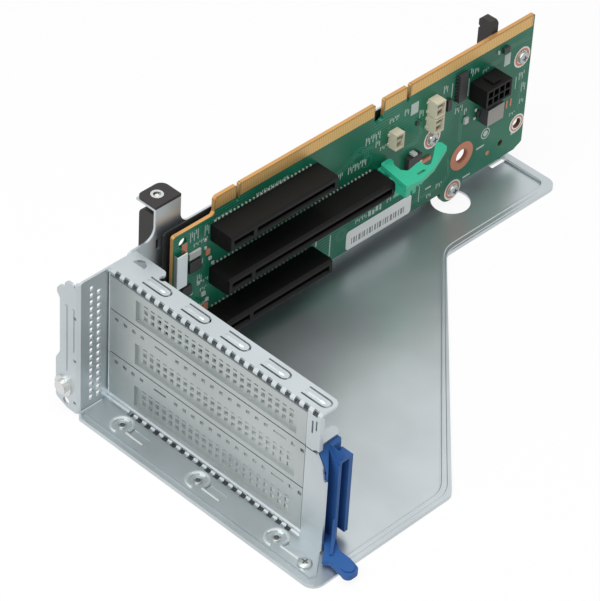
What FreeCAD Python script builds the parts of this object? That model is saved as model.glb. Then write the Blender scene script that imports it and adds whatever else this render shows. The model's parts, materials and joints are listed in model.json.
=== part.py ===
import FreeCAD, Part
import math
import os

# Riser cage bracket: a folded sheet tray and slot frame that hold a riser board upright,
# with three card slots, their blank covers and a swinging slot latch.
# Lengths are millimetres.  While modelling, X runs from the board's component face towards
# the latch, Y from the slot frame's outer face along the board, Z up from the tray's underside.
# The finished pieces are moved together so that the origin is the middle of the footprint.

# Card slots
slot_count = 3
slot_pitch = 20.32
lowest_slot_line = 4.6
slot_line_gap = 0.5
top_slot_line = lowest_slot_line + (slot_count - 1) * slot_pitch
top_slot_height = 18.06

# Sheet metal
sheet = 1.0
cover_sheet = 0.8
seat_gap = 0.1
smallest_arc = 1.9
fold_facet = 0.9
hem_width = 4.2
hem_lift = 0.8

# Tray
tray_right = 118.0
tray_front = -15.5
tray_far = 222.5
tray_narrow_right = 22.9
tray_slant_start = 56.0
tray_slant_end = 156.0
tray_corner = 5.0
tray_hole_radius = 8.1
tray_hole_x = 0.7
tray_hole_y = 182.3
tray_slot_left = -4.8
tray_slot_width = 2.2
tray_slot_near = 211.0
tray_slot_length = 8.5

# Side wall and its tower
wall_face = -5.8
wall_near = 10.4
wall_top = 63.5
tower_near = 23.8
tower_length = 12.7
tower_top = 75.6
tower_fillet = 5.0
wall_opening_radius = 6.0
wall_opening_y = 192.8
wall_opening_z = 14.5
tower_pad_depth = 10.3
tower_pad_thickness = 1.2
bushing_radius = 2.6
bushing_bore_radius = 1.5
bushing_x = -11.4
bushing_y = 29.7
near_post_width = 7.6
near_post_drop = 2.0
far_post_y = 201.0
far_post_thickness = 3.4
far_post_width = 7.2
far_post_top = 78.0
post_bottom = 40.0

# Slot frame
frame_left = -4.8
frame_right = 102.4
rail_top = top_slot_line + top_slot_height
rail_depth = 10.0
rail_root_depth = 14.0
rail_root_length = 16.5
foot_depth = 12.5
side_panel_depth = 14.6
flange_left = -17.0
flange_neck_drop = 10.3
flange_boss_radius = 5.4
vent_pitch = 4.54
vent_size = 2.4
vent_first = -0.4
vent_drop = 2.1
vent_reach = 1.2
side_hole = 2.1
side_hole_pitch = 3.26
finger_count = 5
finger_pitch = 20.0
finger_first = 9.0
finger_length = 11.6
finger_width = 3.5
finger_slot = 0.8
finger_line = 5.8
clinch_near_margin = 15.5
clinch_far_margin = 5.0
clinch_line = -6.8
clinch_radius = 4.1
clinch_tail = 12.6
clinch_tail_half = 1.7
clinch_count = 3
clinch_dish = 0.5
stud_radius = 1.8
stud_height = 0.9

# Covers
cover_left = -4.0
cover_right = 95.8
pocket_left = 8.8
pocket_right = 92.0
pocket_depth = 1.3
pocket_low = 1.2
pocket_height = 11.4
tick_first = -0.2
tick_pitch = 4.51
tick_width = 1.8
tick_height = 1.5
tick_drop = 3.1
long_slots = (23.0, 83.4)
long_slot_length = 6.3
long_slot_height = 0.9
long_slot_room = 6.1
hole_rows = 3
hole_columns = 22
hole_pitch_x = 3.51
hole_pitch_z = 3.1
hole_size = 1.9
hole_lift = 0.6

# Frame's bracket for the latch, and the latch
bracket_left = 96.0
bracket_right = 106.6
bracket_rise = 1.06
bracket_top = top_slot_line + bracket_rise
bracket_slot = 0.5
tab_left = 95.0
tab_length = 14.0
panel_end = 94.4
latch_axis_x = 97.1
latch_axis_y = 3.9
latch_pin_radius = 1.5
latch_face = 107.0
latch_depth = 12.8
latch_wall = 6.8
latch_slope = 6.2
latch_lever_tip = 124.2
latch_running_gap = 0.05
latch_hub_radius = 2.2
foot_screw_x = 107.4
foot_screw_y = -9.1
flange_screw_x = -12.5
flange_screw_z = 11.0
screw_radius = 1.2
screw_head_radius = 2.8
screw_head_height = 1.5
flange_shank = 4.4
washer_radius = 4.4
washer_thickness = 0.8

# Riser board
board_thickness = 1.6
board_near = 27.4
board_far = 224.5
board_bottom = 7.6
board_top = 72.9
board_shoulder = 65.1
board_edge_start = 48.1
key_notches = ((60.0, 1.6, 7.9), (135.6, 5.0, 9.5), (151.8, 1.6, 7.7))
contact_height = 5.0
contact_thickness = 0.1
lobe_y = 182.5
lobe_radius = 6.6
fixing_points = ((219.0, 54.4), (168.0, 39.6), (183.4, 6.0))
open_point = (220.1, 21.0)
open_point_radius = 2.3
small_hole = (210.9, 15.6)
small_hole_radius = 1.4
board_head_radius = 2.6
board_head_height = 1.4
near_hole = (32.3, 60.4)
near_hole_radius = 2.1
ring_hole = (187.2, 21.1)
ring_hole_radius = 3.4
wall_hole = (38.2, 53.6)
wall_hole_radius = 3.2
film_near = 25.5
film_far = 178.0
film_top = 66.2
film_gap = 1.6
film_thickness = 0.4
standoff_radius = 2.6

# Slot connectors
connector_near = 46.4
connector_height = 11.0
connector_width = 7.5
connector_short = 56.0
connector_long = 89.0
connector_line = 12.5
card_slot_width = 1.8
card_slot_depth = 8.0
key_bar = 1.9
key_place = 12.6

# Retainer at the end of the long connector
retainer_width = 11.4
retainer_axis_x = 3.2
retainer_axis_gap = 4.0
retainer_pin_radius = 1.2
retainer_end_gap = 0.6
retainer_plate = 1.8
retainer_leg_height = 4.2

# Parts on the board, the headers as near end, lower end, length, height and reach
power_near = 188.4
power_length = 14.7
power_low = 48.4
power_height = 8.4
power_reach = 9.0
power_socket = (2.6, 2.8)
power_socket_pitch = (3.3, 3.5)
power_column_count = 4
power_row_count = 2
coil_near = 196.2
coil_length = 9.4
coil_low = 33.4
coil_height = 7.8
coil_reach = 4.2
header_a = (142.0, 48.6, 4.6, 7.4, 4.2)
header_b = (163.4, 53.6, 5.4, 8.8, 5.4)
header_c = (163.4, 44.8, 5.4, 8.6, 5.4)
header_wall = 1.2
chip_near = 180.0
chip_length = 4.4
chip_low = 51.6
chip_height = 12.8
chip_leg_pitch = 1.6
clip_near = 30.7
clip_length = 4.9
clip_low = 34.0
clip_height = 21.9
clip_lip = 1.5
clip_sheet = 0.8
label_near = 121.6
label_length = 37.0
label_low = 8.4
label_height = 10.0
label_thickness = 0.1


def box(x0, x1, y0, y1, z0, z1):
    """Block between two corners."""
    corner = FreeCAD.Vector(x0, y0, z0)
    return Part.makeBox(x1 - x0, y1 - y0, z1 - z0, corner)


def rod(radius, start, along, length):
    """Round bar from a start point along a direction."""
    return Part.makeCylinder(radius, length, FreeCAD.Vector(*start), FreeCAD.Vector(*along))


def peg(radius, start, along, length, sides=12):
    """Small many-sided bar, for fasteners and their holes."""
    axis = FreeCAD.Vector(*along).normalize()
    aside = FreeCAD.Vector(0, 0, 1) if abs(axis.z) < 0.5 else FreeCAD.Vector(1, 0, 0)
    across = axis.cross(aside).normalize() * radius
    middle = FreeCAD.Vector(*start)
    corners = []
    for index in range(sides + 1):
        turn = FreeCAD.Rotation(axis, 360.0 * index / sides)
        corners.append(middle + turn.multVec(across))
    return Part.Face(Part.makePolygon(corners)).extrude(axis * length)


def joined(shapes):
    """One solid from pieces that touch or overlap."""
    return shapes[0].multiFuse(shapes[1:]).removeSplitter()


def in_xy(height):
    """Places a flat outline's (u, v) at (X, Y) on one height."""
    return lambda u, v: FreeCAD.Vector(u, v, height)


def in_yz(x):
    """Places a flat outline's (u, v) at (Y, Z) on one X."""
    return lambda u, v: FreeCAD.Vector(x, u, v)


def in_xz(y):
    """Places a flat outline's (u, v) at (X, Z) on one Y."""
    return lambda u, v: FreeCAD.Vector(u, y, v)


def corner_arc(before, corner, after, radius):
    """Tangent points and middle of the arc that rounds one corner."""
    here = FreeCAD.Vector(corner[0], corner[1], 0)
    back = (FreeCAD.Vector(before[0], before[1], 0) - here).normalize()
    ahead = (FreeCAD.Vector(after[0], after[1], 0) - here).normalize()
    half = back.getAngle(ahead) / 2
    inward = (back + ahead).normalize()
    run = radius / math.tan(half)
    centre = here + inward * (radius / math.sin(half))
    return here + back * run, centre - inward * radius, here + ahead * run


def rounded_face(corners, place):
    """Flat face through (u, v, radius) corners, large ones rounded and small ones cut straight."""
    edges = []
    first = None
    last = None
    for index, corner in enumerate(corners):
        before = corners[index - 1]
        after = corners[(index + 1) % len(corners)]
        if corner[2] > 0:
            start, middle, end = corner_arc(before, corner, after, corner[2])
            enter, top, leave = [place(p.x, p.y) for p in (start, middle, end)]
            if corner[2] < smallest_arc:
                arc = Part.makeLine(enter, leave)
            else:
                arc = Part.Arc(enter, top, leave).toShape()
        else:
            arc = None
            enter = place(corner[0], corner[1])
            leave = enter
        if last is not None and (enter - last).Length > 1e-6:
            edges.append(Part.makeLine(last, enter))
        if arc is not None:
            edges.append(arc)
        if first is None:
            first = enter
        last = leave
    if (first - last).Length > 1e-6:
        edges.append(Part.makeLine(last, first))
    return Part.Face(Part.Wire(edges))


def plate_xy(corners, z0, z1):
    """Flat outline in plan, from one height to another."""
    return rounded_face(corners, in_xy(z0)).extrude(FreeCAD.Vector(0, 0, z1 - z0))


def plate_yz(corners, x0, x1):
    """Upright outline along Y, from one X to another."""
    return rounded_face(corners, in_yz(x0)).extrude(FreeCAD.Vector(x1 - x0, 0, 0))


def plate_xz(corners, y0, y1):
    """Upright outline along X, from one Y to another."""
    return rounded_face(corners, in_xz(y0)).extrude(FreeCAD.Vector(0, y1 - y0, 0))


def eased(path, facet):
    """Path with each turn cut short by a facet, as a bent sheet's fold."""
    points = [path[0]]
    for index in range(1, len(path) - 1):
        here = FreeCAD.Vector(path[index][0], path[index][1], 0)
        for other in (path[index - 1], path[index + 1]):
            away = (FreeCAD.Vector(other[0], other[1], 0) - here).normalize() * facet
            points.append((here.x + away.x, here.y + away.y))
    points.append(path[-1])
    return points


def folded_outline(path, thickness):
    """Corners of a folded sheet's section, from the sheet's middle line."""
    left = []
    right = []
    for index, point in enumerate(path):
        here = FreeCAD.Vector(point[0], point[1], 0)
        before = FreeCAD.Vector(*path[max(index - 1, 0)], 0)
        after = FreeCAD.Vector(*path[min(index + 1, len(path) - 1)], 0)
        run_in = (here - before) if index > 0 else (after - here)
        run_out = (after - here) if index < len(path) - 1 else run_in
        run_in = FreeCAD.Vector(run_in).normalize()
        run_out = FreeCAD.Vector(run_out).normalize()
        normal = FreeCAD.Vector(-run_in.y - run_out.y, run_in.x + run_out.x, 0).normalize()
        reach = thickness / 2 / math.cos(run_in.getAngle(run_out) / 2)
        left.append((here.x + normal.x * reach, here.y + normal.y * reach, 0))
        right.append((here.x - normal.x * reach, here.y - normal.y * reach, 0))
    return left + right[::-1]


def slot_line(index):
    """Height of the thin gap below a card slot, counted from the lowest."""
    return lowest_slot_line + index * slot_pitch


def connector_centre(index):
    """Height of a slot connector's middle plane."""
    return slot_line(index) + connector_line


def tray_outline(inset, corner):
    """Plan corners of the tray's floor, moved in by an inset."""
    right = tray_right - inset
    narrow = tray_narrow_right - inset
    slant_shift = inset * 0.42
    left = wall_face - sheet
    return [
        (left, tray_front + 3.0, 0),
        (left + 3.5, tray_front + inset, 1.2),
        (right, tray_front + inset, corner),
        (right, tray_slant_start - slant_shift, corner),
        (narrow, tray_slant_end + slant_shift, corner),
        (narrow, tray_far - inset, corner),
        (left, tray_far - inset, 0),
    ]


def wall_outline():
    """Side wall with the tower that rises from its top edge, as (Y, Z) corners."""
    tower_far = tower_near + tower_length
    return [
        (wall_near, sheet / 2, 0),
        (tray_far, sheet / 2, 0),
        (tray_far, wall_top, 6.0),
        (tower_far, wall_top, tower_fillet),
        (tower_far, tower_top + sheet, 0),
        (tower_near, tower_top + sheet, 0),
        (tower_near, wall_top, tower_fillet),
        (wall_near, wall_top, 2.5),
    ]


def base_tray():
    """Floor, hemmed along its free edges, folded up into the side wall and the tower."""
    floor = plate_xy(tray_outline(0, tray_corner), 0, sheet)
    hem = plate_xy(tray_outline(0, tray_corner), sheet, sheet + hem_lift)
    inner = plate_xy(tray_outline(hem_width, 1.0), sheet, sheet + hem_lift)
    front_clear = box(wall_face - 2, bracket_right + 14, tray_front + 1.6, 0, sheet, sheet + hem_lift)
    wall_clear = box(wall_face - 2, 1.5, 0, tray_far - hem_width, sheet, sheet + hem_lift)
    hem = hem.cut(inner).cut(front_clear).cut(wall_clear)
    wall = plate_yz(wall_outline(), wall_face - sheet, wall_face)
    pad = box(wall_face - tower_pad_depth, wall_face, tower_near, tower_near + tower_length,
              tower_top, tower_top + sheet)
    tray = joined([floor, hem, wall, pad])
    cuts = [
        rod(tray_hole_radius, (tray_hole_x, tray_hole_y, -1), (0, 0, 1), 4),
        peg(wall_opening_radius, (wall_face - 3, wall_opening_y, wall_opening_z), (1, 0, 0), 6),
        peg(wall_hole_radius, (wall_face - 3, wall_hole[0], wall_hole[1]), (1, 0, 0), 6),
        box(tray_slot_left, tray_slot_left + tray_slot_width,
            tray_slot_near, tray_slot_near + tray_slot_length, -1, 2),
        box(wall_face - 2, wall_face + 1, tower_near + 0.4, tower_near + 2.2,
            wall_top - 5.9, wall_top - 0.9),
        rod(latch_pin_radius + latch_running_gap, (latch_axis_x, latch_axis_y, -1), (0, 0, 1), 4),
        peg(bushing_radius + seat_gap / 2, (bushing_x, bushing_y, tower_top - 1), (0, 0, 1), 5),
        peg(screw_radius + seat_gap / 2, (foot_screw_x, foot_screw_y, -1), (0, 0, 1), 4),
    ]
    return tray.cut(Part.makeCompound(cuts))


def frame_section():
    """Foot, upright panel with its two small steps, and rail, as a folded strip in (Y, Z)."""
    front = sheet / 2
    behind = cover_sheet + seat_gap + sheet / 2
    foot = sheet + sheet / 2
    top = rail_top - sheet / 2
    first_step = slot_line(0) - 1.4
    step = behind - front
    return [
        (-foot_depth, foot),
        (front - fold_facet, foot),
        (front, foot + fold_facet),
        (front, first_step),
        (behind, first_step + step),
        (behind, rail_step_height()),
        (front, rail_step_height() + step),
        (front, top - 0.7),
        (front + 0.7, top),
        (rail_root_depth, top),
    ]


def rail_step_height():
    """Height at which the panel steps forward again under the rail."""
    return rail_top - 2.6


def frame_strip():
    """The folded strip along the whole slot panel."""
    face = rounded_face(folded_outline(frame_section(), sheet), in_yz(frame_left - sheet))
    return face.extrude(FreeCAD.Vector(frame_right - frame_left + sheet, 0, 0))


def side_strip():
    """Perforated side panel and outer flange, folded forward from the slot panel's left edge."""
    half = sheet / 2
    behind = cover_sheet + seat_gap + half
    path = eased([
        (frame_left + 2.0, behind),
        (frame_left - half, behind),
        (frame_left - half, -side_panel_depth + half),
        (flange_left, -side_panel_depth + half),
    ], fold_facet)
    face = rounded_face(folded_outline(path, sheet), in_xy(sheet))
    return face.extrude(FreeCAD.Vector(0, 0, rail_top - sheet))


def flange_neck_top():
    """Height at which the outer flange's neck ends under its upper ear."""
    return rail_top - flange_neck_drop


def flange_waste():
    """Sheet removed round the outer flange to leave its ears, neck and foot."""
    y0 = -side_panel_depth - 1
    y1 = -side_panel_depth + sheet + fold_facet
    knob_x = flange_left + 7.6
    ear_x = flange_left + 1.0
    neck = flange_neck_top()
    knob_top = rail_top - 1.7
    blank = box(flange_left - 3, frame_left - sheet - 1.0, y0, y1, -1, rail_top + 1)
    keep = plate_xz([
        (frame_left, 0.4, 0),
        (knob_x, 0.4, 0),
        (flange_left, 3.4, 2.0),
        (flange_left, 22.0, 1.5),
        (flange_left + 2.2, 26.0, 1.5),
        (flange_left + 2.2, neck - 1.5, 1.0),
        (ear_x - 1.0, neck + 1.6, 1.6),
        (ear_x + 1.4, neck + 4.8, 1.2),
        (knob_x - 2.8, neck + 4.8, 0.6),
        (knob_x - 2.8, knob_top, 2.3),
        (knob_x + 2.8, knob_top, 2.3),
        (knob_x + 2.8, neck, 1.0),
        (frame_left, neck, 0),
    ], y0, y1)
    boss = rod(flange_boss_radius, (flange_screw_x, y0, flange_screw_z), (0, 1, 0), y1 - y0)
    return blank.cut(keep.fuse(boss))


def tongue(root, tip, middle, half, z0, z1):
    """Strip with one round end, in plan."""
    strip = box(root, tip, middle - half, middle + half, z0, z1)
    return strip.fuse(peg(half, (tip, middle, z0), (0, 0, 1), z1 - z0, 10))


def finger_slots():
    """U-shaped slots that free the spring fingers of the rail."""
    cutters = []
    half = finger_width / 2
    z0 = rail_top - sheet - 1
    z1 = rail_top + 1
    for index in range(finger_count):
        root = finger_first + index * finger_pitch
        tip = root + finger_length - half
        outside = tongue(root, tip, finger_line, half + finger_slot, z0, z1)
        cutters.append(outside.cut(tongue(root - 1, tip, finger_line, half, z0, z1)))
    return cutters


def frame_windows():
    """Openings behind the covers' pockets and the small holes above them."""
    cutters = []
    for index in range(slot_count):
        low = cover_bottom(index) + pocket_low - 0.4
        high = min(cover_bottom(index) + pocket_low + pocket_height + 6.0, rail_step_height() - 0.3)
        cutters.append(box(pocket_left - 0.4, pocket_right + 0.4, -1, 4, low, high))
    return cutters


def rail_vents():
    """Square holes across the rail's front fold, and the same row at the foot's fold."""
    cutters = []
    count = int((frame_right - 2.0 - vent_first) / vent_pitch) + 1
    for index in range(count):
        x = vent_first + index * vent_pitch
        cutters.append(box(x - vent_size / 2, x + vent_size / 2, -1, vent_reach,
                           rail_top - vent_drop, rail_top + 1))
    foot_count = int((cover_right - pocket_left) / vent_pitch)
    for index in range(foot_count):
        x = pocket_left + index * vent_pitch
        cutters.append(box(x - vent_size / 2, x + vent_size / 2, -1.6, 1.2, 0, sheet + 2.2))
    return cutters


def side_perforation():
    """Two columns of square holes and the slots at the fold of the side panel."""
    cutters = []
    count = int((rail_top - 10.0) / side_hole_pitch) + 1
    half = side_hole / 2
    for column, y in enumerate((-8.0, -4.5)):
        for index in range(count - column):
            z = 6.2 + index * side_hole_pitch
            cutters.append(box(frame_left - 2 * sheet, frame_left + 0.5, y - half, y + half,
                               z - half, z + half))
    for index in range(slot_count - 1):
        low = slot_line(index) + slot_pitch - 7.4
        cutters.append(box(frame_left - 2 * sheet, frame_left - 0.3, -0.9, 0.7, low, low + 8.2))
    start = -side_panel_depth - 1
    corner = box(frame_left - 2 * sheet, frame_left + 0.5, start, -side_panel_depth + 2.6,
                 rail_top - 2.6, rail_top + 1)
    round_part = rod(2.6, (frame_left - 2 * sheet, -side_panel_depth + 2.6, rail_top - 2.6), (1, 0, 0), 4)
    return cutters + [corner.cut(round_part)]


def rail_waste():
    """Sheet removed behind the rail and from its two corners."""
    z0 = rail_top - 2 * sheet
    z1 = rail_top + 1
    root = frame_left + rail_root_length
    behind = box(root, frame_right + 2, rail_depth, rail_root_depth + 2, z0, z1)
    corner = box(frame_right - 3, frame_right + 2, rail_depth - 3, rail_depth + 1, z0, z1)
    corner = corner.cut(rod(3.0, (frame_right - 3, rail_depth - 3, z0), (0, 0, 1), z1 - z0))
    notch = peg(1.5, (root + 0.9, rail_depth + 0.4, z0), (0, 0, 1), z1 - z0)
    rear = rail_root_depth + 1
    root_corner = box(root - 2.2, root + 1, rear - 3.2, rear, z0, z1)
    root_corner = root_corner.cut(peg(2.2, (root - 2.2, rear - 3.2, z0), (0, 0, 1), z1 - z0))
    crescent = peg(2.9, (1.2, 9.4, z0), (0, 0, 1), z1 - z0).cut(box(-4, 5, 6, 9.0, z0, z1))
    return [behind, corner, notch, root_corner, crescent]


def clinch_x(index):
    """Place of a clinch along the foot, spread evenly between the foot's two margins."""
    first = frame_left + clinch_near_margin
    last = bracket_left - clinch_far_margin
    return first + index * (last - first) / (clinch_count - 1)


def clinch_dish_cutter(index):
    """Keyhole-shaped dish round one clinch."""
    x = clinch_x(index)
    z0 = 2 * sheet - clinch_dish
    tail = tongue(x, x + clinch_tail, clinch_line, clinch_tail_half, z0, z0 + 1)
    return tail.fuse(peg(clinch_radius - 0.5, (x, clinch_line, z0), (0, 0, 1), 1, 10))


def latch_bracket():
    """Upright beside the slots, the sloped end of the foot, and the tab that holds the latch pin."""
    face_top = bracket_top - sheet - bracket_slot
    face = plate_xz([
        (bracket_left, 2 * sheet, 0),
        (bracket_right, 2 * sheet, 0),
        (bracket_right, face_top - 10.2, 0.3),
        (bracket_right - 1.3, face_top - 10.2, 0.3),
        (bracket_right - 2.0, face_top - 5.2, 1.5),
        (bracket_right - 5.4, face_top, 0.5),
        (bracket_left, face_top, 0),
    ], 0, sheet)
    foot = plate_xy([
        (bracket_left, sheet, 0),
        (bracket_left, -foot_depth, 0),
        (tray_right - 2.0, -foot_depth, 1.5),
        (bracket_right, -0.6, 0),
        (bracket_right, sheet, 0),
    ], sheet, 2 * sheet)
    tab = plate_xy([
        (tab_left, sheet, 0),
        (bracket_left, sheet, 0),
        (bracket_left, 0, 0),
        (tab_left + 5.3, 0, 0.8),
        (tab_left + 4.9, tab_length, 1.8),
        (tab_left + 0.6, tab_length, 1.0),
    ], bracket_top - sheet, bracket_top)
    above = box(cover_right + 0.1, frame_right, 0, sheet, bracket_top, rail_step_height() + sheet)
    return [face, foot, tab, above]


def slot_frame():
    """Slot panel, top rail, foot, latch bracket, side panel and outer flange of one sheet."""
    rear = rail_root_depth + 1
    room = box(panel_end, frame_right + 2, sheet, rear, 0, bracket_top)
    upright = box(bracket_left, frame_right + 2, -foot_depth - 1, rear, 2 * sheet, bracket_top)
    body = joined([frame_strip(), side_strip()]).cut(flange_waste().fuse(room).fuse(upright))
    body = joined([body] + latch_bracket())
    outer = -side_panel_depth - 1
    cutters = finger_slots() + frame_windows() + rail_vents() + side_perforation() + rail_waste()
    cutters += [
        box(frame_left - 2 * sheet, frame_left + 0.6, -foot_depth - 1, -1.6, 0, 2.2),
        box(bracket_left + 2.2, bracket_left + 3.0, -1, 3, bracket_top + 6.6, bracket_top + 12.3),
        box(bracket_left + 4.1, bracket_left + 4.8, -1, 3, bracket_top + 8.7, bracket_top + 13.1),
        rod(latch_pin_radius + latch_running_gap, (latch_axis_x, latch_axis_y, bracket_top - 3),
            (0, 0, 1), 6),
        peg(screw_radius + 0.2, (foot_screw_x, foot_screw_y, 0), (0, 0, 1), 4),
        peg(screw_radius + seat_gap / 2, (flange_screw_x, outer, flange_screw_z), (0, 1, 0), 4),
        peg(1.7, (flange_screw_x + 1.1, outer, 4.0), (0, 1, 0), 4),
    ]
    for index in range(slot_count):
        z = slot_line(index) + 1.2
        cutters.append(box(frame_left - 2.6, frame_left - 1.2, outer, outer + 1.6, z - 0.6, z + 0.6))
    cutters += [clinch_dish_cutter(index) for index in range(clinch_count)]
    frame = body.cut(Part.makeCompound(cutters))
    ribs = [box(flange_left + x, flange_left + x + 1.1, -side_panel_depth - 0.3, -side_panel_depth + 0.2,
                z0, flange_neck_top() - 3.0) for x, z0 in ((5.0, 19.0), (8.7, 30.0))]
    return frame.fuse(ribs).removeSplitter()


def cover_bottom(index):
    """Lower edge of a slot cover."""
    return slot_line(index) + slot_line_gap / 2


def cover_top(index):
    """Upper edge of a slot cover; the highest one ends under the rail's step."""
    if index == slot_count - 1:
        return rail_step_height() - 0.3
    return slot_line(index + 1) - slot_line_gap / 2


def cover_holes(index):
    """Perforated rows of a cover's pocket, as cutting blocks."""
    cutters = []
    half = hole_size / 2
    first_x = (pocket_left + pocket_right - (hole_columns - 1) * hole_pitch_x) / 2
    middle_z = cover_bottom(index) + pocket_low + pocket_height / 2 + hole_lift
    first_z = middle_z - (hole_rows - 1) * hole_pitch_z / 2
    for row in range(hole_rows):
        for column in range(hole_columns):
            x = first_x + column * hole_pitch_x
            z = first_z + row * hole_pitch_z
            cutters.append(box(x - half, x + half, 0.5, 4, z - half, z + half))
    return cutters


def cover_tick_row(top):
    """Small holes and two long slots in the strip above a cover's pocket."""
    places = [(x, long_slot_length, long_slot_height) for x in long_slots]
    count = int((cover_right - tick_width / 2 - tick_first) / tick_pitch) + 1
    for index in range(count):
        x = tick_first + index * tick_pitch
        if min(abs(x - slot) for slot in long_slots) > long_slot_room:
            places.append((x, tick_width, tick_height))
    z = top - tick_drop
    return [box(x - width / 2, x + width / 2, -1, 2, z - height / 2, z + height / 2)
            for x, width, height in places]


def slot_cover(index):
    """Blank cover with plain ends, a perforated pocket and a row of small holes above it."""
    bottom = cover_bottom(index)
    top = cover_top(index)
    low = bottom + pocket_low
    high = low + pocket_height
    wall = cover_sheet
    skin = box(cover_left, cover_right, 0, cover_sheet, bottom, top)
    pan = box(pocket_left, pocket_right, 0, pocket_depth + wall, low, high)
    hollow = box(pocket_left + wall, pocket_right - wall, -1, pocket_depth, low + wall, high - wall)
    cutters = [hollow] + cover_holes(index)
    if index < slot_count - 1:
        cutters += cover_tick_row(top)
    return joined([skin, pan]).cut(Part.makeCompound(cutters))


def latch_base(low):
    """Latch's bottom plate with the thumb lever, in plan, and the raised pad at its tip."""
    tip = latch_lever_tip
    plate = plate_xy([
        (latch_axis_x, latch_axis_y - latch_hub_radius, 0),
        (latch_face, sheet + 0.2, 0),
        (latch_face + 4.9, -5.2, 0.8),
        (latch_face + 7.2, -3.4, 1.0),
        (tip - 3.8, -4.3, 2.0),
        (tip, -5.4, 2.2),
        (tip, 1.4, 2.4),
        (latch_face + 11.0, 2.8, 2.0),
        (latch_face + 5.6, 2.9, 1.8),
        (latch_face, latch_wall, 0),
        (latch_axis_x, latch_wall, 0),
    ], low, low + 2.4)
    pad = plate_xy([
        (tip - 5.0, -3.4, 0.4),
        (tip - 0.9, -4.2, 1.6),
        (tip - 0.9, 0.6, 1.6),
        (tip - 5.0, 1.6, 0.4),
    ], low + 2.4, low + 3.0)
    return [plate, pad]


def latch_gusset(low):
    """Rib that runs down from the latch's wall to the root of the lever."""
    plan = plate_xy([
        (latch_face - 1.0, latch_wall - 1.0, 0),
        (latch_face + 5.4, -1.8, 0),
        (latch_face + 6.0, -0.9, 0),
        (latch_face, latch_wall, 0),
        (latch_face - 1.0, latch_wall, 0),
    ], low, low + 12.0)
    side = plate_xz([
        (latch_face - 2.0, low, 0),
        (latch_face + 6.4, low, 0),
        (latch_face + 6.4, low + 2.6, 0),
        (latch_face + 2.2, low + 6.4, 3.0),
        (latch_face, low + 12.0, 0),
        (latch_face - 2.0, low + 12.0, 0),
    ], -6, latch_wall + 1)
    return plan.common(side)


def slot_latch():
    """Moulded latch: hub on a vertical pin, wall with an open recess beside it, and thumb lever."""
    low = 2 * sheet + 0.3
    high = bracket_top - sheet - 0.2
    near = sheet + 0.2
    far = latch_depth
    left = latch_axis_x - latch_hub_radius
    hub_right = latch_axis_x + 3.6
    hub = plate_xy([
        (left, latch_axis_y - latch_hub_radius, 2.1),
        (latch_face - 0.7, near, 0),
        (hub_right, latch_wall, 0),
        (left, latch_wall, 2.1),
    ], low, high)
    block = plate_xy([
        (left + 1.2, latch_wall - 1.0, 0),
        (latch_face, latch_wall - 1.0, 0),
        (latch_face, latch_wall, 0),
        (latch_face - 4.6, latch_wall + 0.2, 0),
        (latch_face - 4.6, far - 0.4, 1.2),
        (left + 3.4, far - 0.4, 1.8),
        (left + 1.2, latch_wall + 2.0, 1.5),
    ], low, high)
    slope = plate_xz([
        (hub_right, high + 1, 0),
        (latch_face + 1, high + 1, 0),
        (latch_face + 1, high - latch_slope, 0),
        (latch_face - 0.7, high - latch_slope, 0),
        (hub_right, high, 0),
    ], 0, latch_wall)
    wing = box(latch_face - 5.4, latch_face, latch_wall - 0.4, far, low + 2.0, high - 4.2)
    recess = plate_yz([
        (latch_wall + 0.4, low + 1.0, 0),
        (far - 1.8, low + 1.0, 0),
        (far - 1.8, high - 5.2, 0.4),
        (latch_wall + 0.4, high - 5.2, 0.4),
    ], latch_face - 4.2, latch_face + 2.0)
    pin = rod(latch_pin_radius, (latch_axis_x, latch_axis_y, 0.2), (0, 0, 1), bracket_top + 0.2)
    slit = box(hub_right + 1.2, latch_face - 1.6, -1, near + 0.5, high - 8.2, high - 6.9)
    body = joined([hub, block]).cut(slope)
    body = joined([body, wing, latch_gusset(low)]).cut(recess).cut(slit)
    return joined([body, pin] + latch_base(low))


def board_outline():
    """Riser board's (Y, Z) corners, with its raised contact edge and key notches."""
    corners = [
        (board_near, board_bottom, 1.0),
        (lobe_y - 2 * lobe_radius, board_bottom, 0),
        (board_far - 4.6, board_bottom, 0),
        (board_far, board_bottom + 2.2, 0.6),
        (board_far, board_top, 1.0),
    ]
    for middle, width, depth in sorted(key_notches, reverse=True):
        floor = board_top - depth
        corners += [
            (middle + width / 2, board_top, 0.5),
            (middle + width / 2, floor, width * 0.4),
            (middle - width / 2, floor, width * 0.4),
            (middle - width / 2, board_top, 0.6),
        ]
    corners += [
        (board_edge_start, board_top, 1.5),
        (board_edge_start, board_shoulder, 1.2),
        (board_near, board_shoulder, 1.0),
    ]
    return corners


def riser_board():
    """Printed board with its fixing lobe and drilled holes."""
    board = plate_yz(board_outline(), -board_thickness, 0)
    lobe = rod(lobe_radius, (-board_thickness, lobe_y, board_bottom), (1, 0, 0), board_thickness)
    board = joined([board, lobe])
    cuts = [peg(screw_radius + 0.2, (-3, y, z), (1, 0, 0), 5) for y, z in fixing_points]
    cuts.append(peg(open_point_radius, (-3, open_point[0], open_point[1]), (1, 0, 0), 5))
    cuts.append(peg(near_hole_radius, (-3, near_hole[0], near_hole[1]), (1, 0, 0), 5))
    cuts.append(peg(ring_hole_radius, (-3, ring_hole[0], ring_hole[1]), (1, 0, 0), 5))
    cuts.append(peg(small_hole_radius, (-3, small_hole[0], small_hole[1]), (1, 0, 0), 5, 8))
    return board.cut(Part.makeCompound(cuts))


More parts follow.
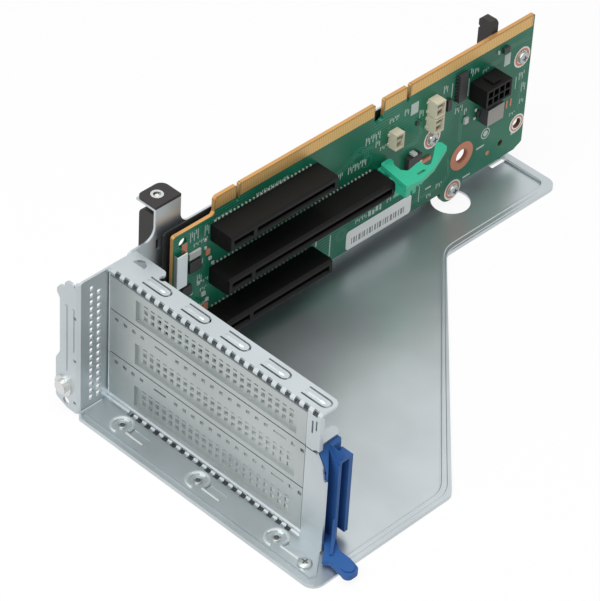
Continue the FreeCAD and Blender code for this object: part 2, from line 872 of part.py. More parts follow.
def edge_contacts():
    """Gold contact bands on both faces, one pair between each two key notches."""
    stops = [board_edge_start + 2.0]
    for middle, width, depth in key_notches:
        stops += [middle - width / 2 - 0.8, middle + width / 2 + 0.8]
    stops.append(board_far - 1.6)
    bands = []
    for start, end in zip(stops[::2], stops[1::2]):
        for face in (0, -board_thickness - contact_thickness):
            bands.append(box(face, face + contact_thickness, start, end,
                             board_top - 0.4 - contact_height, board_top - 0.4))
    return Part.makeCompound(bands)


def slot_connector(index, length):
    """Card socket standing on the board, open along its outer face, with a key bar."""
    middle = connector_centre(index)
    half = connector_width / 2
    end = connector_near + length
    start = contact_thickness
    housing = plate_xy([
        (start, connector_near, 0),
        (start, end, 0),
        (connector_height, end, 0.6),
        (connector_height, connector_near, 0.6),
    ], middle - half, middle + half)
    slot_half = card_slot_width / 2
    key = connector_near + key_place
    floor = connector_height - card_slot_depth
    near_slot = box(floor, connector_height + 1, connector_near + 1.6, key - key_bar / 2,
                    middle - slot_half, middle + slot_half)
    far_slot = box(floor, connector_height + 1, key + key_bar / 2, end - 1.6,
                   middle - slot_half, middle + slot_half)
    lead_in = box(connector_height - 0.7, connector_height + 1, connector_near + 1.6, end - 1.6,
                  middle - slot_half - 0.7, middle + slot_half + 0.7)
    lead_in = lead_in.cut(box(floor, connector_height + 1, key - key_bar / 2, key + key_bar / 2,
                              middle - half, middle + half))
    return housing.cut(Part.makeCompound([near_slot, far_slot, lead_in]))


def retainer_y():
    """Place of the retainer's pin along the board."""
    return connector_near + connector_long + retainer_axis_gap


def card_retainer():
    """Hooked lever past the long connector's end: a thin plate on a leg, turning on a pin."""
    low = connector_centre(1) - retainer_width / 2
    high = connector_centre(1) + retainer_width / 2
    face = connector_near + connector_long + retainer_end_gap
    plate = plate_xy([
        (0.7, face + 1.5, 0.8),
        (17.6, face - 1.3, 0.6),
        (18.4, face + 6.0, 1.8),
        (16.4, face + 15.4, 4.0),
        (10.7, face + 29.0, 1.0),
        (6.9, face + 29.4, 0.8),
        (5.9, face + 27.4, 0.8),
        (11.4, face + 20.0, 1.8),
        (14.2, face + 15.6, 1.0),
        (12.6, face + 13.6, 0.8),
        (9.6, face + 14.6, 0.8),
        (10.8, face + 7.0, 1.8),
        (10.4, face + 4.4, 1.8),
        (4.6, face + 5.0, 1.8),
        (2.0, face + 7.4, 0.8),
        (0.7, face + 6.4, 0.8),
    ], high - retainer_plate, high)
    leg_top = high - retainer_plate - 0.6
    leg = box(7.2, 16.6, face - 0.4, face + 5.2, leg_top - retainer_leg_height, leg_top)
    web = box(7.2, 9.6, face + 0.4, face + 5.0, low, high - retainer_plate / 2)
    cheek = box(0.7, 9.6, face + 1.3, face + 5.6, low, low + retainer_plate)
    notch = box(13.4, 17.6, face + 2.2, face + 3.4, leg_top - retainer_leg_height - 1, leg_top - 2.4)
    window = box(14.4, 15.6, face + 7.4, face + 11.8, low, high + 1)
    pin_hole = rod(retainer_pin_radius + 0.05, (retainer_axis_x, retainer_y(), low - 1), (0, 0, 1),
                   retainer_width + 2)
    return joined([plate, leg, web, cheek]).cut(Part.makeCompound([notch, window, pin_hole]))


def retainer_post():
    """Block on the connector's end that carries the retainer's pin."""
    middle = connector_centre(1)
    half = retainer_width / 2 - 2.6
    y = retainer_y()
    block = plate_xy([
        (contact_thickness, y - 2.6, 0),
        (retainer_axis_x + 1.6, y - 2.6, 1.4),
        (retainer_axis_x + 1.6, y + 2.6, 1.4),
        (contact_thickness, y + 2.6, 0),
    ], middle - half, middle + half)
    pin = rod(retainer_pin_radius, (retainer_axis_x, y, middle - retainer_width / 2 + 0.3),
              (0, 0, 1), retainer_width - 0.6)
    return block.fuse(pin).removeSplitter()


def power_connector():
    """Housing with two rows of four square sockets and a lock ridge."""
    top = power_low + power_height
    housing = box(0, power_reach, power_near, power_near + power_length, power_low, top)
    ridge = box(2.0, power_reach - 1.6, power_near + 5.2, power_near + 9.5, top, top + 1.1)
    width, height = power_socket
    sockets = []
    for column in range(power_column_count):
        for row in range(power_row_count):
            y = power_near + 1.1 + column * power_socket_pitch[0]
            z = power_low + 1.0 + row * power_socket_pitch[1]
            sockets.append(box(3.0, power_reach + 1, y, y + width, z, z + height))
    return joined([housing, ridge]).cut(Part.makeCompound(sockets))


def power_coil():
    """Square coil body."""
    return box(0, coil_reach, coil_near, coil_near + coil_length, coil_low, coil_low + coil_height)


def cable_header(near, low, length, height, reach):
    """Small side-entry header with a plug mouth and two end cheeks."""
    wall = header_wall
    body = box(0, reach, near, near + length, low, low + height)
    mouth = box(wall, reach + 1, near + wall, near + length - wall, low + wall, low + height - wall)
    step = box(reach - wall, reach + 1, near - 1, near + wall / 2, low - 1, low + height + 1)
    return body.cut(mouth.fuse(step))


def driver_chip():
    """Flat chip with a row of legs along each side."""
    far = chip_near + chip_length
    parts = [box(0.3, 1.9, chip_near, far, chip_low, chip_low + chip_height)]
    for index in range(round(chip_height / chip_leg_pitch)):
        z = chip_low + (index + 0.5) * chip_leg_pitch
        parts.append(box(0, 0.9, chip_near - 0.9, far + 0.9, z - 0.3, z + 0.3))
    return joined(parts)


def board_screws():
    """Pan-head screws that hold the board to its standoffs."""
    screws = []
    for y, z in fixing_points:
        head = peg(board_head_radius, (0, y, z), (1, 0, 0), board_head_height)
        shank = peg(screw_radius, (-board_thickness, y, z), (1, 0, 0), board_thickness)
        screws.append(head.fuse(shank))
    return Part.makeCompound(screws)


def board_standoffs():
    """Hexagonal spacers between the side wall and the board."""
    length = -board_thickness - wall_face
    spacers = [peg(standoff_radius, (wall_face, y, z), (1, 0, 0), length, 6) for y, z in fixing_points]
    return Part.makeCompound(spacers)


def insulator_sheet():
    """Thin sheet between the side wall and the board, open round the spacers and the near hole."""
    low = board_bottom + 1.0
    face = -board_thickness - film_gap
    film = plate_yz([
        (film_near, low, 1.0),
        (film_far, low, 1.0),
        (film_far, film_top, 1.0),
        (film_near, film_top, 1.0),
    ], face - film_thickness, face)
    room = standoff_radius + 0.3
    holes = [box(-5, -1, y - room, y + room, z - room, z + room) for y, z in fixing_points]
    middle_y = (near_hole[0] + 2 * wall_hole[0]) / 3
    middle_z = (near_hole[1] + 2 * wall_hole[1]) / 3
    holes.append(peg(wall_hole_radius + 0.6, (-5, middle_y, middle_z), (1, 0, 0), 4))
    return film.cut(Part.makeCompound(holes))


def board_clip():
    """Narrow folded channel on the board's near end."""
    back = contact_thickness + clip_sheet / 2
    tip = back + clip_lip
    far = clip_near + clip_length
    path = [(tip, clip_near), (back, clip_near), (back, far), (tip, far)]
    section = rounded_face(folded_outline(path, clip_sheet), in_xy(clip_low))
    return section.extrude(FreeCAD.Vector(0, 0, clip_height))


def board_label():
    """Paper label on the board."""
    return box(0, label_thickness, label_near, label_near + label_length,
               label_low, label_low + label_height)


def near_guide_post():
    """Moulded locating post behind the side wall, under the tower."""
    back = wall_face - sheet - seat_gap
    return plate_xz([
        (back - near_post_width, post_bottom, 1.0),
        (back, post_bottom, 0),
        (back, tower_top - near_post_drop, 0),
        (back - near_post_width, tower_top - near_post_drop, 3.4),
    ], tower_near, tower_near + tower_length)


def far_guide_post():
    """Flat locating post that stands over the wall's top edge on a leg behind the wall."""
    back = wall_face - sheet - seat_gap
    left = -board_thickness - 0.3 - far_post_width
    return plate_xz([
        (left, post_bottom, 1.0),
        (back, post_bottom, 0),
        (back, wall_top + 0.5, 0),
        (left + far_post_width, wall_top + 0.5, 0),
        (left + far_post_width, far_post_top, 1.0),
        (left, far_post_top, 1.4),
        (left, far_post_top - 4.0, 0),
        (left + 0.8, far_post_top - 4.8, 0),
        (left, far_post_top - 5.6, 0),
    ], far_post_y, far_post_y + far_post_thickness)


def tower_pad():
    """Dark cap on the tower with a bored middle."""
    left = wall_face - tower_pad_depth
    far = tower_near + tower_length
    z0 = tower_top + sheet
    cap = plate_xy([
        (left, tower_near, 2.4),
        (wall_face, tower_near, 0),
        (wall_face, far, 0),
        (left, far, 3.4),
    ], z0, z0 + tower_pad_thickness)
    bore = peg(bushing_radius + seat_gap / 2, (bushing_x, bushing_y, z0 - 1), (0, 0, 1), 4)
    return cap.cut(bore)


def tower_bushing():
    """Bright bushing pressed through the cap and the tower's top."""
    length = sheet + tower_pad_thickness
    sleeve = peg(bushing_radius - seat_gap / 2, (bushing_x, bushing_y, tower_top), (0, 0, 1), length)
    bore = rod(bushing_bore_radius, (bushing_x, bushing_y, tower_top - 1), (0, 0, 1), length + 3)
    return sleeve.cut(bore)


def clinch_studs():
    """Studs that clinch the frame's foot to the tray."""
    low = 2 * sheet - clinch_dish
    studs = [peg(stud_radius, (clinch_x(index), clinch_line, low), (0, 0, 1), stud_height)
             for index in range(clinch_count)]
    return Part.makeCompound(studs)


def foot_screw():
    """Screw that holds the latch bracket's foot to the tray."""
    z = 2 * sheet
    head = peg(screw_head_radius, (foot_screw_x, foot_screw_y, z), (0, 0, 1), screw_head_height)
    shank = peg(screw_radius, (foot_screw_x, foot_screw_y, 0), (0, 0, 1), z)
    return head.fuse(shank)


def flange_screw():
    """Screw in the boss of the outer flange."""
    y = -side_panel_depth - washer_thickness
    under = (flange_screw_x, y, flange_screw_z)
    head = peg(screw_head_radius, under, (0, -1, 0), screw_head_height)
    shank = peg(screw_radius, under, (0, 1, 0), flange_shank)
    return head.fuse(shank)


def flange_washer():
    """Washer under the flange screw."""
    start = (flange_screw_x, -side_panel_depth - washer_thickness, flange_screw_z)
    disc = peg(washer_radius, start, (0, 1, 0), washer_thickness)
    return disc.cut(peg(screw_radius + seat_gap / 2, start, (0, 1, 0), washer_thickness))


def pieces():
    """Every sub-part by its name."""
    return {
        "base_tray": base_tray(),
        "slot_frame": slot_frame(),
        "slot_cover_bottom": slot_cover(0),
        "slot_cover_middle": slot_cover(1),
        "slot_cover_top": slot_cover(2),
        "slot_latch": slot_latch(),
        "riser_board": riser_board(),
        "edge_contacts": edge_contacts(),
        "slot_connector_bottom": slot_connector(0, connector_short),
        "slot_connector_middle": slot_connector(1, connector_long),
        "slot_connector_top": slot_connector(2, connector_short),
        "card_retainer": card_retainer(),
        "retainer_post": retainer_post(),
        "power_connector": power_connector(),
        "power_coil": power_coil(),
        "cable_header_a": cable_header(*header_a),
        "cable_header_b": cable_header(*header_b),
        "cable_header_c": cable_header(*header_c),
        "driver_chip": driver_chip(),
        "board_screws": board_screws(),
        "board_standoffs": board_standoffs(),
        "insulator_sheet": insulator_sheet(),
        "board_clip": board_clip(),
        "near_guide_post": near_guide_post(),
        "far_guide_post": far_guide_post(),
        "tower_pad": tower_pad(),
        "tower_bushing": tower_bushing(),
        "clinch_studs": clinch_studs(),
        "foot_screw": foot_screw(),
        "flange_screw": flange_screw(),
        "flange_washer": flange_washer(),
        "board_label": board_label(),
    }


def main():
    """Builds every piece, centres the set over its footprint and writes one file for each."""
    os.makedirs("parts", exist_ok=True)
    shapes = pieces()
    bounds = Part.makeCompound(list(shapes.values())).BoundBox
    middle = FreeCAD.Vector(-bounds.Center.x, -bounds.Center.y, -bounds.ZMin)
    for name, shape in shapes.items():
        moved = shape.copy()
        moved.translate(middle)
        moved.exportStep("parts/" + name + ".step")
    print("shift", round(middle.x, 4), round(middle.y, 4), round(middle.z, 4))


main()
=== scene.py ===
"""Looks of the riser cage bracket: finishes, small fixings and the board's soldered parts.

Lengths in the classes are millimetres in the modelling frame: X from the riser board's component
face towards the latch, Y from the slot covers' outer face along the board, Z up from the tray.
"""

import json
import logging
import math
from dataclasses import dataclass, field
from enum import Enum
from typing import Sequence

import bpy
from mathutils import Matrix, Vector

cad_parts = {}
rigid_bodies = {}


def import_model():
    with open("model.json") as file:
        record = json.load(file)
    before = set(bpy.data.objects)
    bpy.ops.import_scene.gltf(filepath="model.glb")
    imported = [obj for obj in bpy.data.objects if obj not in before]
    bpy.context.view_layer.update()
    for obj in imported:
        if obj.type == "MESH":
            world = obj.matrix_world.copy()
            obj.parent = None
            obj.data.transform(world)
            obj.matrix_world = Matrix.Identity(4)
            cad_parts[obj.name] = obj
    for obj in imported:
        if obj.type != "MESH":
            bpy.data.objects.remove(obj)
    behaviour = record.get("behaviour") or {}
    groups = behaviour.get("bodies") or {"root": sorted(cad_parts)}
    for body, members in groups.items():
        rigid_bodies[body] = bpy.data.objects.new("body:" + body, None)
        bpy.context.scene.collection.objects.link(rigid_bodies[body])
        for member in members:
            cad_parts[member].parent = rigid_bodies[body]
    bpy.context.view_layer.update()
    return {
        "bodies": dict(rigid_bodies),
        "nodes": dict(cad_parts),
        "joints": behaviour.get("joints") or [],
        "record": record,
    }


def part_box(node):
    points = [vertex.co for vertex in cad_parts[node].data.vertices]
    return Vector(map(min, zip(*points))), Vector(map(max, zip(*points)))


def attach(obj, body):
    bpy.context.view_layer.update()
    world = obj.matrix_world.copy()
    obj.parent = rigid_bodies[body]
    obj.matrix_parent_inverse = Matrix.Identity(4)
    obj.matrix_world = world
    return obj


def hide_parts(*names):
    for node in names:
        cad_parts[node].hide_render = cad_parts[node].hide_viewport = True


Pair = tuple[float, float]
Point = tuple[float, float, float]
Row = tuple[float, ...]
Colour = tuple[float, float, float]
log = logging.getLogger("riser_cage")

MM_IN_METRE = 1000.0
WHITE = (1.0, 1.0, 1.0, 1.0)


class Body(Enum):
    """Rigid body that a piece moves with."""

    CAGE = "cage"
    LATCH = "latch"
    RETAINER = "retainer"


class Slot(Enum):
    """Material slot of the record."""

    SHEET_STEEL = "sheet_steel"
    COVER_STEEL = "cover_steel"
    BLUE_MOULDING = "blue_moulding"
    BOARD_GREEN = "board_green"
    CONTACT_GOLD = "contact_gold"
    SOCKET_BLACK = "socket_black"
    RETAINER_GREEN = "retainer_green"
    HEADER_CREAM = "header_cream"
    CHIP_BLACK = "chip_black"
    COIL_GREY = "coil_grey"
    SCREW_STEEL = "screw_steel"
    SPACER_BRASS = "spacer_brass"
    FILM_BLACK = "film_black"
    CLIP_STEEL = "clip_steel"
    POST_BLACK = "post_black"
    BUSHING_BRIGHT = "bushing_bright"
    LABEL_PAPER = "label_paper"


class Axis(Enum):
    """Direction that a flat outline is thickened along or a profile turned about."""

    X = 0
    Y = 1
    Z = 2


# Finishes

# Stops of the ramp between a surface's darker and lighter clouds, and the clouds' fineness
CLOUD_STOPS = (0.32, 0.68)
CLOUD_DETAIL = 3.0
# Sockets of the mix node's colours, which share their names with its other kinds
MIX_SHARE, MIX_FIRST, MIX_SECOND, MIX_RESULT = 0, 6, 7, 2


def new_material(name: str) -> tuple[bpy.types.Material, bpy.types.NodeTree, bpy.types.Node]:
    """Makes an empty material with its surface shader.

    Args:
        name: Name of the finish.

    Returns:
        The material, its node tree and its surface shader node.
    """
    material = bpy.data.materials.new(name)
    material.use_nodes = True
    tree = material.node_tree
    return material, tree, node_of_type(tree, "BSDF_PRINCIPLED")


def node_of_type(tree: bpy.types.NodeTree, kind: str) -> bpy.types.Node:
    """Returns the first node of a type in a tree."""
    return next(node for node in tree.nodes if node.type == kind)


def feed(tree: bpy.types.NodeTree, node: bpy.types.Node, inputs: dict[str | int, object]) -> None:
    """Sets a node's inputs, each to a value or to another node's output.

    Args:
        tree: Node tree that holds the node.
        node: The node.
        inputs: Values and output sockets, by the input's name or number.
    """
    for name, value in inputs.items():
        if isinstance(value, bpy.types.NodeSocket):
            tree.links.new(value, node.inputs[name])
        else:
            node.inputs[name].default_value = value


def add_node(tree: bpy.types.NodeTree, kind: str, inputs: dict[str | int, object] | None = None,
             **settings: object) -> bpy.types.Node:
    """Adds a shader node.

    Args:
        tree: Node tree that takes it.
        kind: Its type, without the words that all shader nodes start with.
        inputs: What its inputs are fed with.
        settings: Values of its own properties.

    Returns:
        The node.
    """
    node = tree.nodes.new("ShaderNode" + kind)
    for name, value in settings.items():
        setattr(node, name, value)
    feed(tree, node, inputs or {})
    return node


def set_stops(ramp: bpy.types.Node, places: Pair, colours: tuple[Colour, Colour]) -> None:
    """Sets the two stops of a colour ramp.

    Args:
        ramp: The ramp.
        places: Place of each stop.
        colours: Colour of each stop.
    """
    for stop, place, colour in zip(ramp.color_ramp.elements, places, colours):
        stop.position = place
        stop.color = (*colour, 1.0)


def shade(colour: Colour, factor: float) -> Colour:
    """Darkens or lightens a colour by a factor."""
    return (min(colour[0] * factor, 1.0), min(colour[1] * factor, 1.0), min(colour[2] * factor, 1.0))


def mottled(tree: bpy.types.NodeTree, colour: Colour, cloud: float, scale: float) -> bpy.types.NodeSocket:
    """Adds soft clouds round a colour, fixed to the object.

    Args:
        tree: Node tree of the material.
        colour: Middle colour.
        cloud: Share by which the clouds are darker and lighter.
        scale: Clouds in a metre.

    Returns:
        The colour socket.
    """
    place = add_node(tree, "TexCoord").outputs["Object"]
    noise = add_node(tree, "TexNoise", {"Vector": place, "Scale": scale, "Detail": CLOUD_DETAIL})
    ramp = add_node(tree, "ValToRGB", {"Fac": noise.outputs["Fac"]})
    set_stops(ramp, CLOUD_STOPS, (shade(colour, 1 - cloud), shade(colour, 1 + cloud)))
    return ramp.outputs["Color"]


@dataclass(frozen=True)
class SheetFinish:
    """Zinc-plated sheet steel with faint clouds."""

    name: str
    colour: Colour
    roughness: float = 0.34
    metallic: float = 0.85
    cloud: float = 0.08
    clouds_per_metre: float = 26.0

    def build(self) -> bpy.types.Material:
        """Returns the material."""
        material, tree, shader = new_material(self.name)
        tone = mottled(tree, self.colour, self.cloud, self.clouds_per_metre)
        feed(tree, shader, {"Base Color": tone, "Roughness": self.roughness, "Metallic": self.metallic})
        return material


@dataclass(frozen=True)
class MouldedFinish:
    """Moulded plastic, film or paper with a slight variation of tone."""

    name: str
    colour: Colour
    roughness: float = 0.45
    cloud: float = 0.05
    clouds_per_metre: float = 60.0
    sheen: float = 0.5

    def build(self) -> bpy.types.Material:
        """Returns the material."""
        material, tree, shader = new_material(self.name)
        tone = mottled(tree, self.colour, self.cloud, self.clouds_per_metre)
        feed(tree, shader, {"Base Color": tone, "Roughness": self.roughness,
                            "Specular IOR Level": self.sheen})
        return material


@dataclass(frozen=True)
class BoardFinish:
    """Solder mask with patches of fine lighter lines, which are the copper under it."""

    name: str
    colour: Colour
    line: Colour
    roughness: float = 0.32
    sheen: float = 0.25
    cloud: float = 0.18
    clouds_per_metre: float = 22.0
    lines_per_metre: float = 230.0
    waver: float = 5.0
    waver_scale: float = 0.12
    line_band: Pair = (0.72, 0.92)
    line_strength: float = 0.75
    patches_per_metre: float = 48.0
    patch_band: Pair = (0.46, 0.58)

    def build(self) -> bpy.types.Material:
        """Returns the material."""
        material, tree, shader = new_material(self.name)
        base = mottled(tree, self.colour, self.cloud, self.clouds_per_metre)
        place = add_node(tree, "TexCoord").outputs["Object"]
        wave = add_node(tree, "TexWave", {
            "Vector": place, "Scale": self.lines_per_metre, "Distortion": self.waver, "Detail": 1.0,
            "Detail Scale": self.waver_scale}, bands_direction="Z")
        patches = add_node(tree, "TexNoise", {
            "Vector": place, "Scale": self.patches_per_metre, "Detail": 1.0})
        wires = add_node(tree, "MapRange", {
            "Value": wave.outputs["Fac"], "From Min": self.line_band[0], "From Max": self.line_band[1],
            "To Max": self.line_strength})
        where = add_node(tree, "MapRange", {
            "Value": patches.outputs["Fac"], "From Min": self.patch_band[0], "From Max": self.patch_band[1]})
        share = add_node(tree, "Math", {0: wires.outputs["Result"], 1: where.outputs["Result"]},
                         operation="MULTIPLY")
        mix = add_node(tree, "Mix", data_type="RGBA", inputs={
            MIX_SHARE: share.outputs["Value"], MIX_FIRST: base, MIX_SECOND: (*self.line, 1.0)})
        feed(tree, shader, {"Base Color": mix.outputs[MIX_RESULT], "Roughness": self.roughness,
                            "Specular IOR Level": self.sheen})
        return material


@dataclass(frozen=True)
class ContactFinish:
    """Gold contact band, split by fine lines across the board's edge."""

    name: str
    colour: Colour
    gap: Colour
    contacts_per_metre: float = 1000.0
    contact_share: float = 0.7
    roughness: float = 0.38
    metallic: float = 0.6

    def build(self) -> bpy.types.Material:
        """Returns the material."""
        material, tree, shader = new_material(self.name)
        place = add_node(tree, "TexCoord").outputs["Object"]
        along = add_node(tree, "SeparateXYZ", {"Vector": place}).outputs["Y"]
        count = add_node(tree, "Math", {0: along, 1: self.contacts_per_metre}, operation="MULTIPLY")
        part = add_node(tree, "Math", {0: count.outputs["Value"]}, operation="FRACT")
        ramp = add_node(tree, "ValToRGB", {"Fac": part.outputs["Value"]})
        ramp.color_ramp.interpolation = "CONSTANT"
        set_stops(ramp, (0.0, self.contact_share), (self.colour, self.gap))
        feed(tree, shader, {"Base Color": ramp.outputs["Color"], "Roughness": self.roughness,
                            "Metallic": self.metallic})
        return material


class Finish(Enum):
    """Every finish of the part."""

    SHEET = SheetFinish("zinc sheet", (0.53, 0.58, 0.60))
    COVER = SheetFinish("zinc cover", (0.45, 0.485, 0.48), roughness=0.4)
    BRIGHT = SheetFinish("bright steel", (0.66, 0.67, 0.66), roughness=0.25)
    RING = SheetFinish("tinned ring", (0.70, 0.71, 0.69), roughness=0.35, metallic=0.5)
    # Painted highlight: lighter copy of the sheet steel, on the clinch rings and the clip's face
    RIM = SheetFinish("painted highlight steel", (0.74, 0.77, 0.78), roughness=0.3)
    # Darker steel: painted shade on the clip's flanges, and a darker tone on the clinch cups
    DULL = SheetFinish("darker steel", (0.36, 0.38, 0.38), roughness=0.4)
    # Painted shade: flat dark grey set in holes, hollows and recesses where only shade falls
    SHADOW = SheetFinish("hollow", (0.10, 0.11, 0.11), roughness=0.5)
    COPPER = SheetFinish("bare copper", (0.56, 0.22, 0.13), roughness=0.45, metallic=0.35)
    # Painted shade: darker copy of the bare copper, for the walls inside the holes
    BORE = SheetFinish("copper in bore shade", (0.20, 0.075, 0.04), roughness=0.5, metallic=0.3)
    SPACER = SheetFinish("brass spacer", (0.55, 0.42, 0.20), roughness=0.35)
    BLUE = MouldedFinish("blue moulding", (0.032, 0.110, 0.32), roughness=0.45, sheen=0.2)
    GREEN = MouldedFinish("green moulding", (0.035, 0.46, 0.28), roughness=0.4)
    CREAM = MouldedFinish("cream header", (0.60, 0.55, 0.42), roughness=0.5)
    BLACK = MouldedFinish("black socket", (0.0055, 0.005, 0.0045), roughness=0.5, sheen=0.17)
    POST = MouldedFinish("black post", (0.021, 0.019, 0.018), roughness=0.5, sheen=0.35)
    CHIP = MouldedFinish("black chip", (0.030, 0.028, 0.030), roughness=0.55)
    FILM = MouldedFinish("black film", (0.018, 0.018, 0.018), roughness=0.6)
    COIL = MouldedFinish("dark coil side", (0.045, 0.045, 0.05), roughness=0.6)
    COIL_FACE = MouldedFinish("grey coil face", (0.36, 0.35, 0.33), roughness=0.6)
    PAPER = MouldedFinish("label paper", (0.90, 0.91, 0.91), roughness=0.6, cloud=0.03)
    INK = MouldedFinish("label bars", (0.30, 0.31, 0.31), roughness=0.6)
    LEGEND = MouldedFinish("printed legend", (0.52, 0.61, 0.56), roughness=0.6)
    TIN = MouldedFinish("tinned part", (0.50, 0.52, 0.50), roughness=0.35)
    SOLDER = MouldedFinish("soldered ends", (0.46, 0.47, 0.41), roughness=0.45)
    TRACE = MouldedFinish("masked conductor", (0.05, 0.24, 0.15), roughness=0.4)
    BOARD = BoardFinish("solder mask", (0.009, 0.155, 0.086), (0.06, 0.30, 0.20))
    GOLD = ContactFinish("gold contacts", (0.74, 0.47, 0.17), (0.50, 0.30, 0.10))
    EDGE = SheetFinish("gold edge", (0.62, 0.33, 0.11), roughness=0.4, metallic=0.5)


@dataclass
class Palette:
    """Builds each finish once and hands it out."""

    made: dict[Finish, bpy.types.Material] = field(default_factory=dict)

    def get(self, finish: Finish) -> bpy.types.Material:
        """Returns the material of a finish, built on first use.

        Args:
            finish: The finish.

        Returns:
            Its material.
        """
        if finish not in self.made:
            self.made[finish] = finish.value.build()
        return self.made[finish]


# Meshes

# Edges sharper than this are rounded, and faces that meet at less than this are shaded as one
ROUNDED_FROM = math.radians(40)
SMOOTH_BELOW = math.radians(35)
ROUNDING_STEPS = 2
# Keeps the tops of two bars that cross apart
BAR_STEP = 0.01
# Stretches of a bend in plan
BEND_STEPS = 4


@dataclass
class Datum:
    """Where the modelling frame's zero lies in the row frame, in metres."""

    x: float
    y: float

    @classmethod
    def from_nodes(cls) -> "Datum":
        """Reads the datum from the board's face and the covers' outer face.

        Returns:
            The datum.
        """
        return cls(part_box("riser_board")[1][0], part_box("slot_cover_bottom")[0][1])

    def place(self, point: Sequence[float]) -> Vector:
        """Returns a millimetre point as metres in the row frame.

        Args:
            point: X, Y and Z in the modelling frame.

        Returns:
            The point in the row frame.
        """
        return Vector((self.x + point[0] / MM_IN_METRE, self.y + point[1] / MM_IN_METRE,
                       point[2] / MM_IN_METRE))


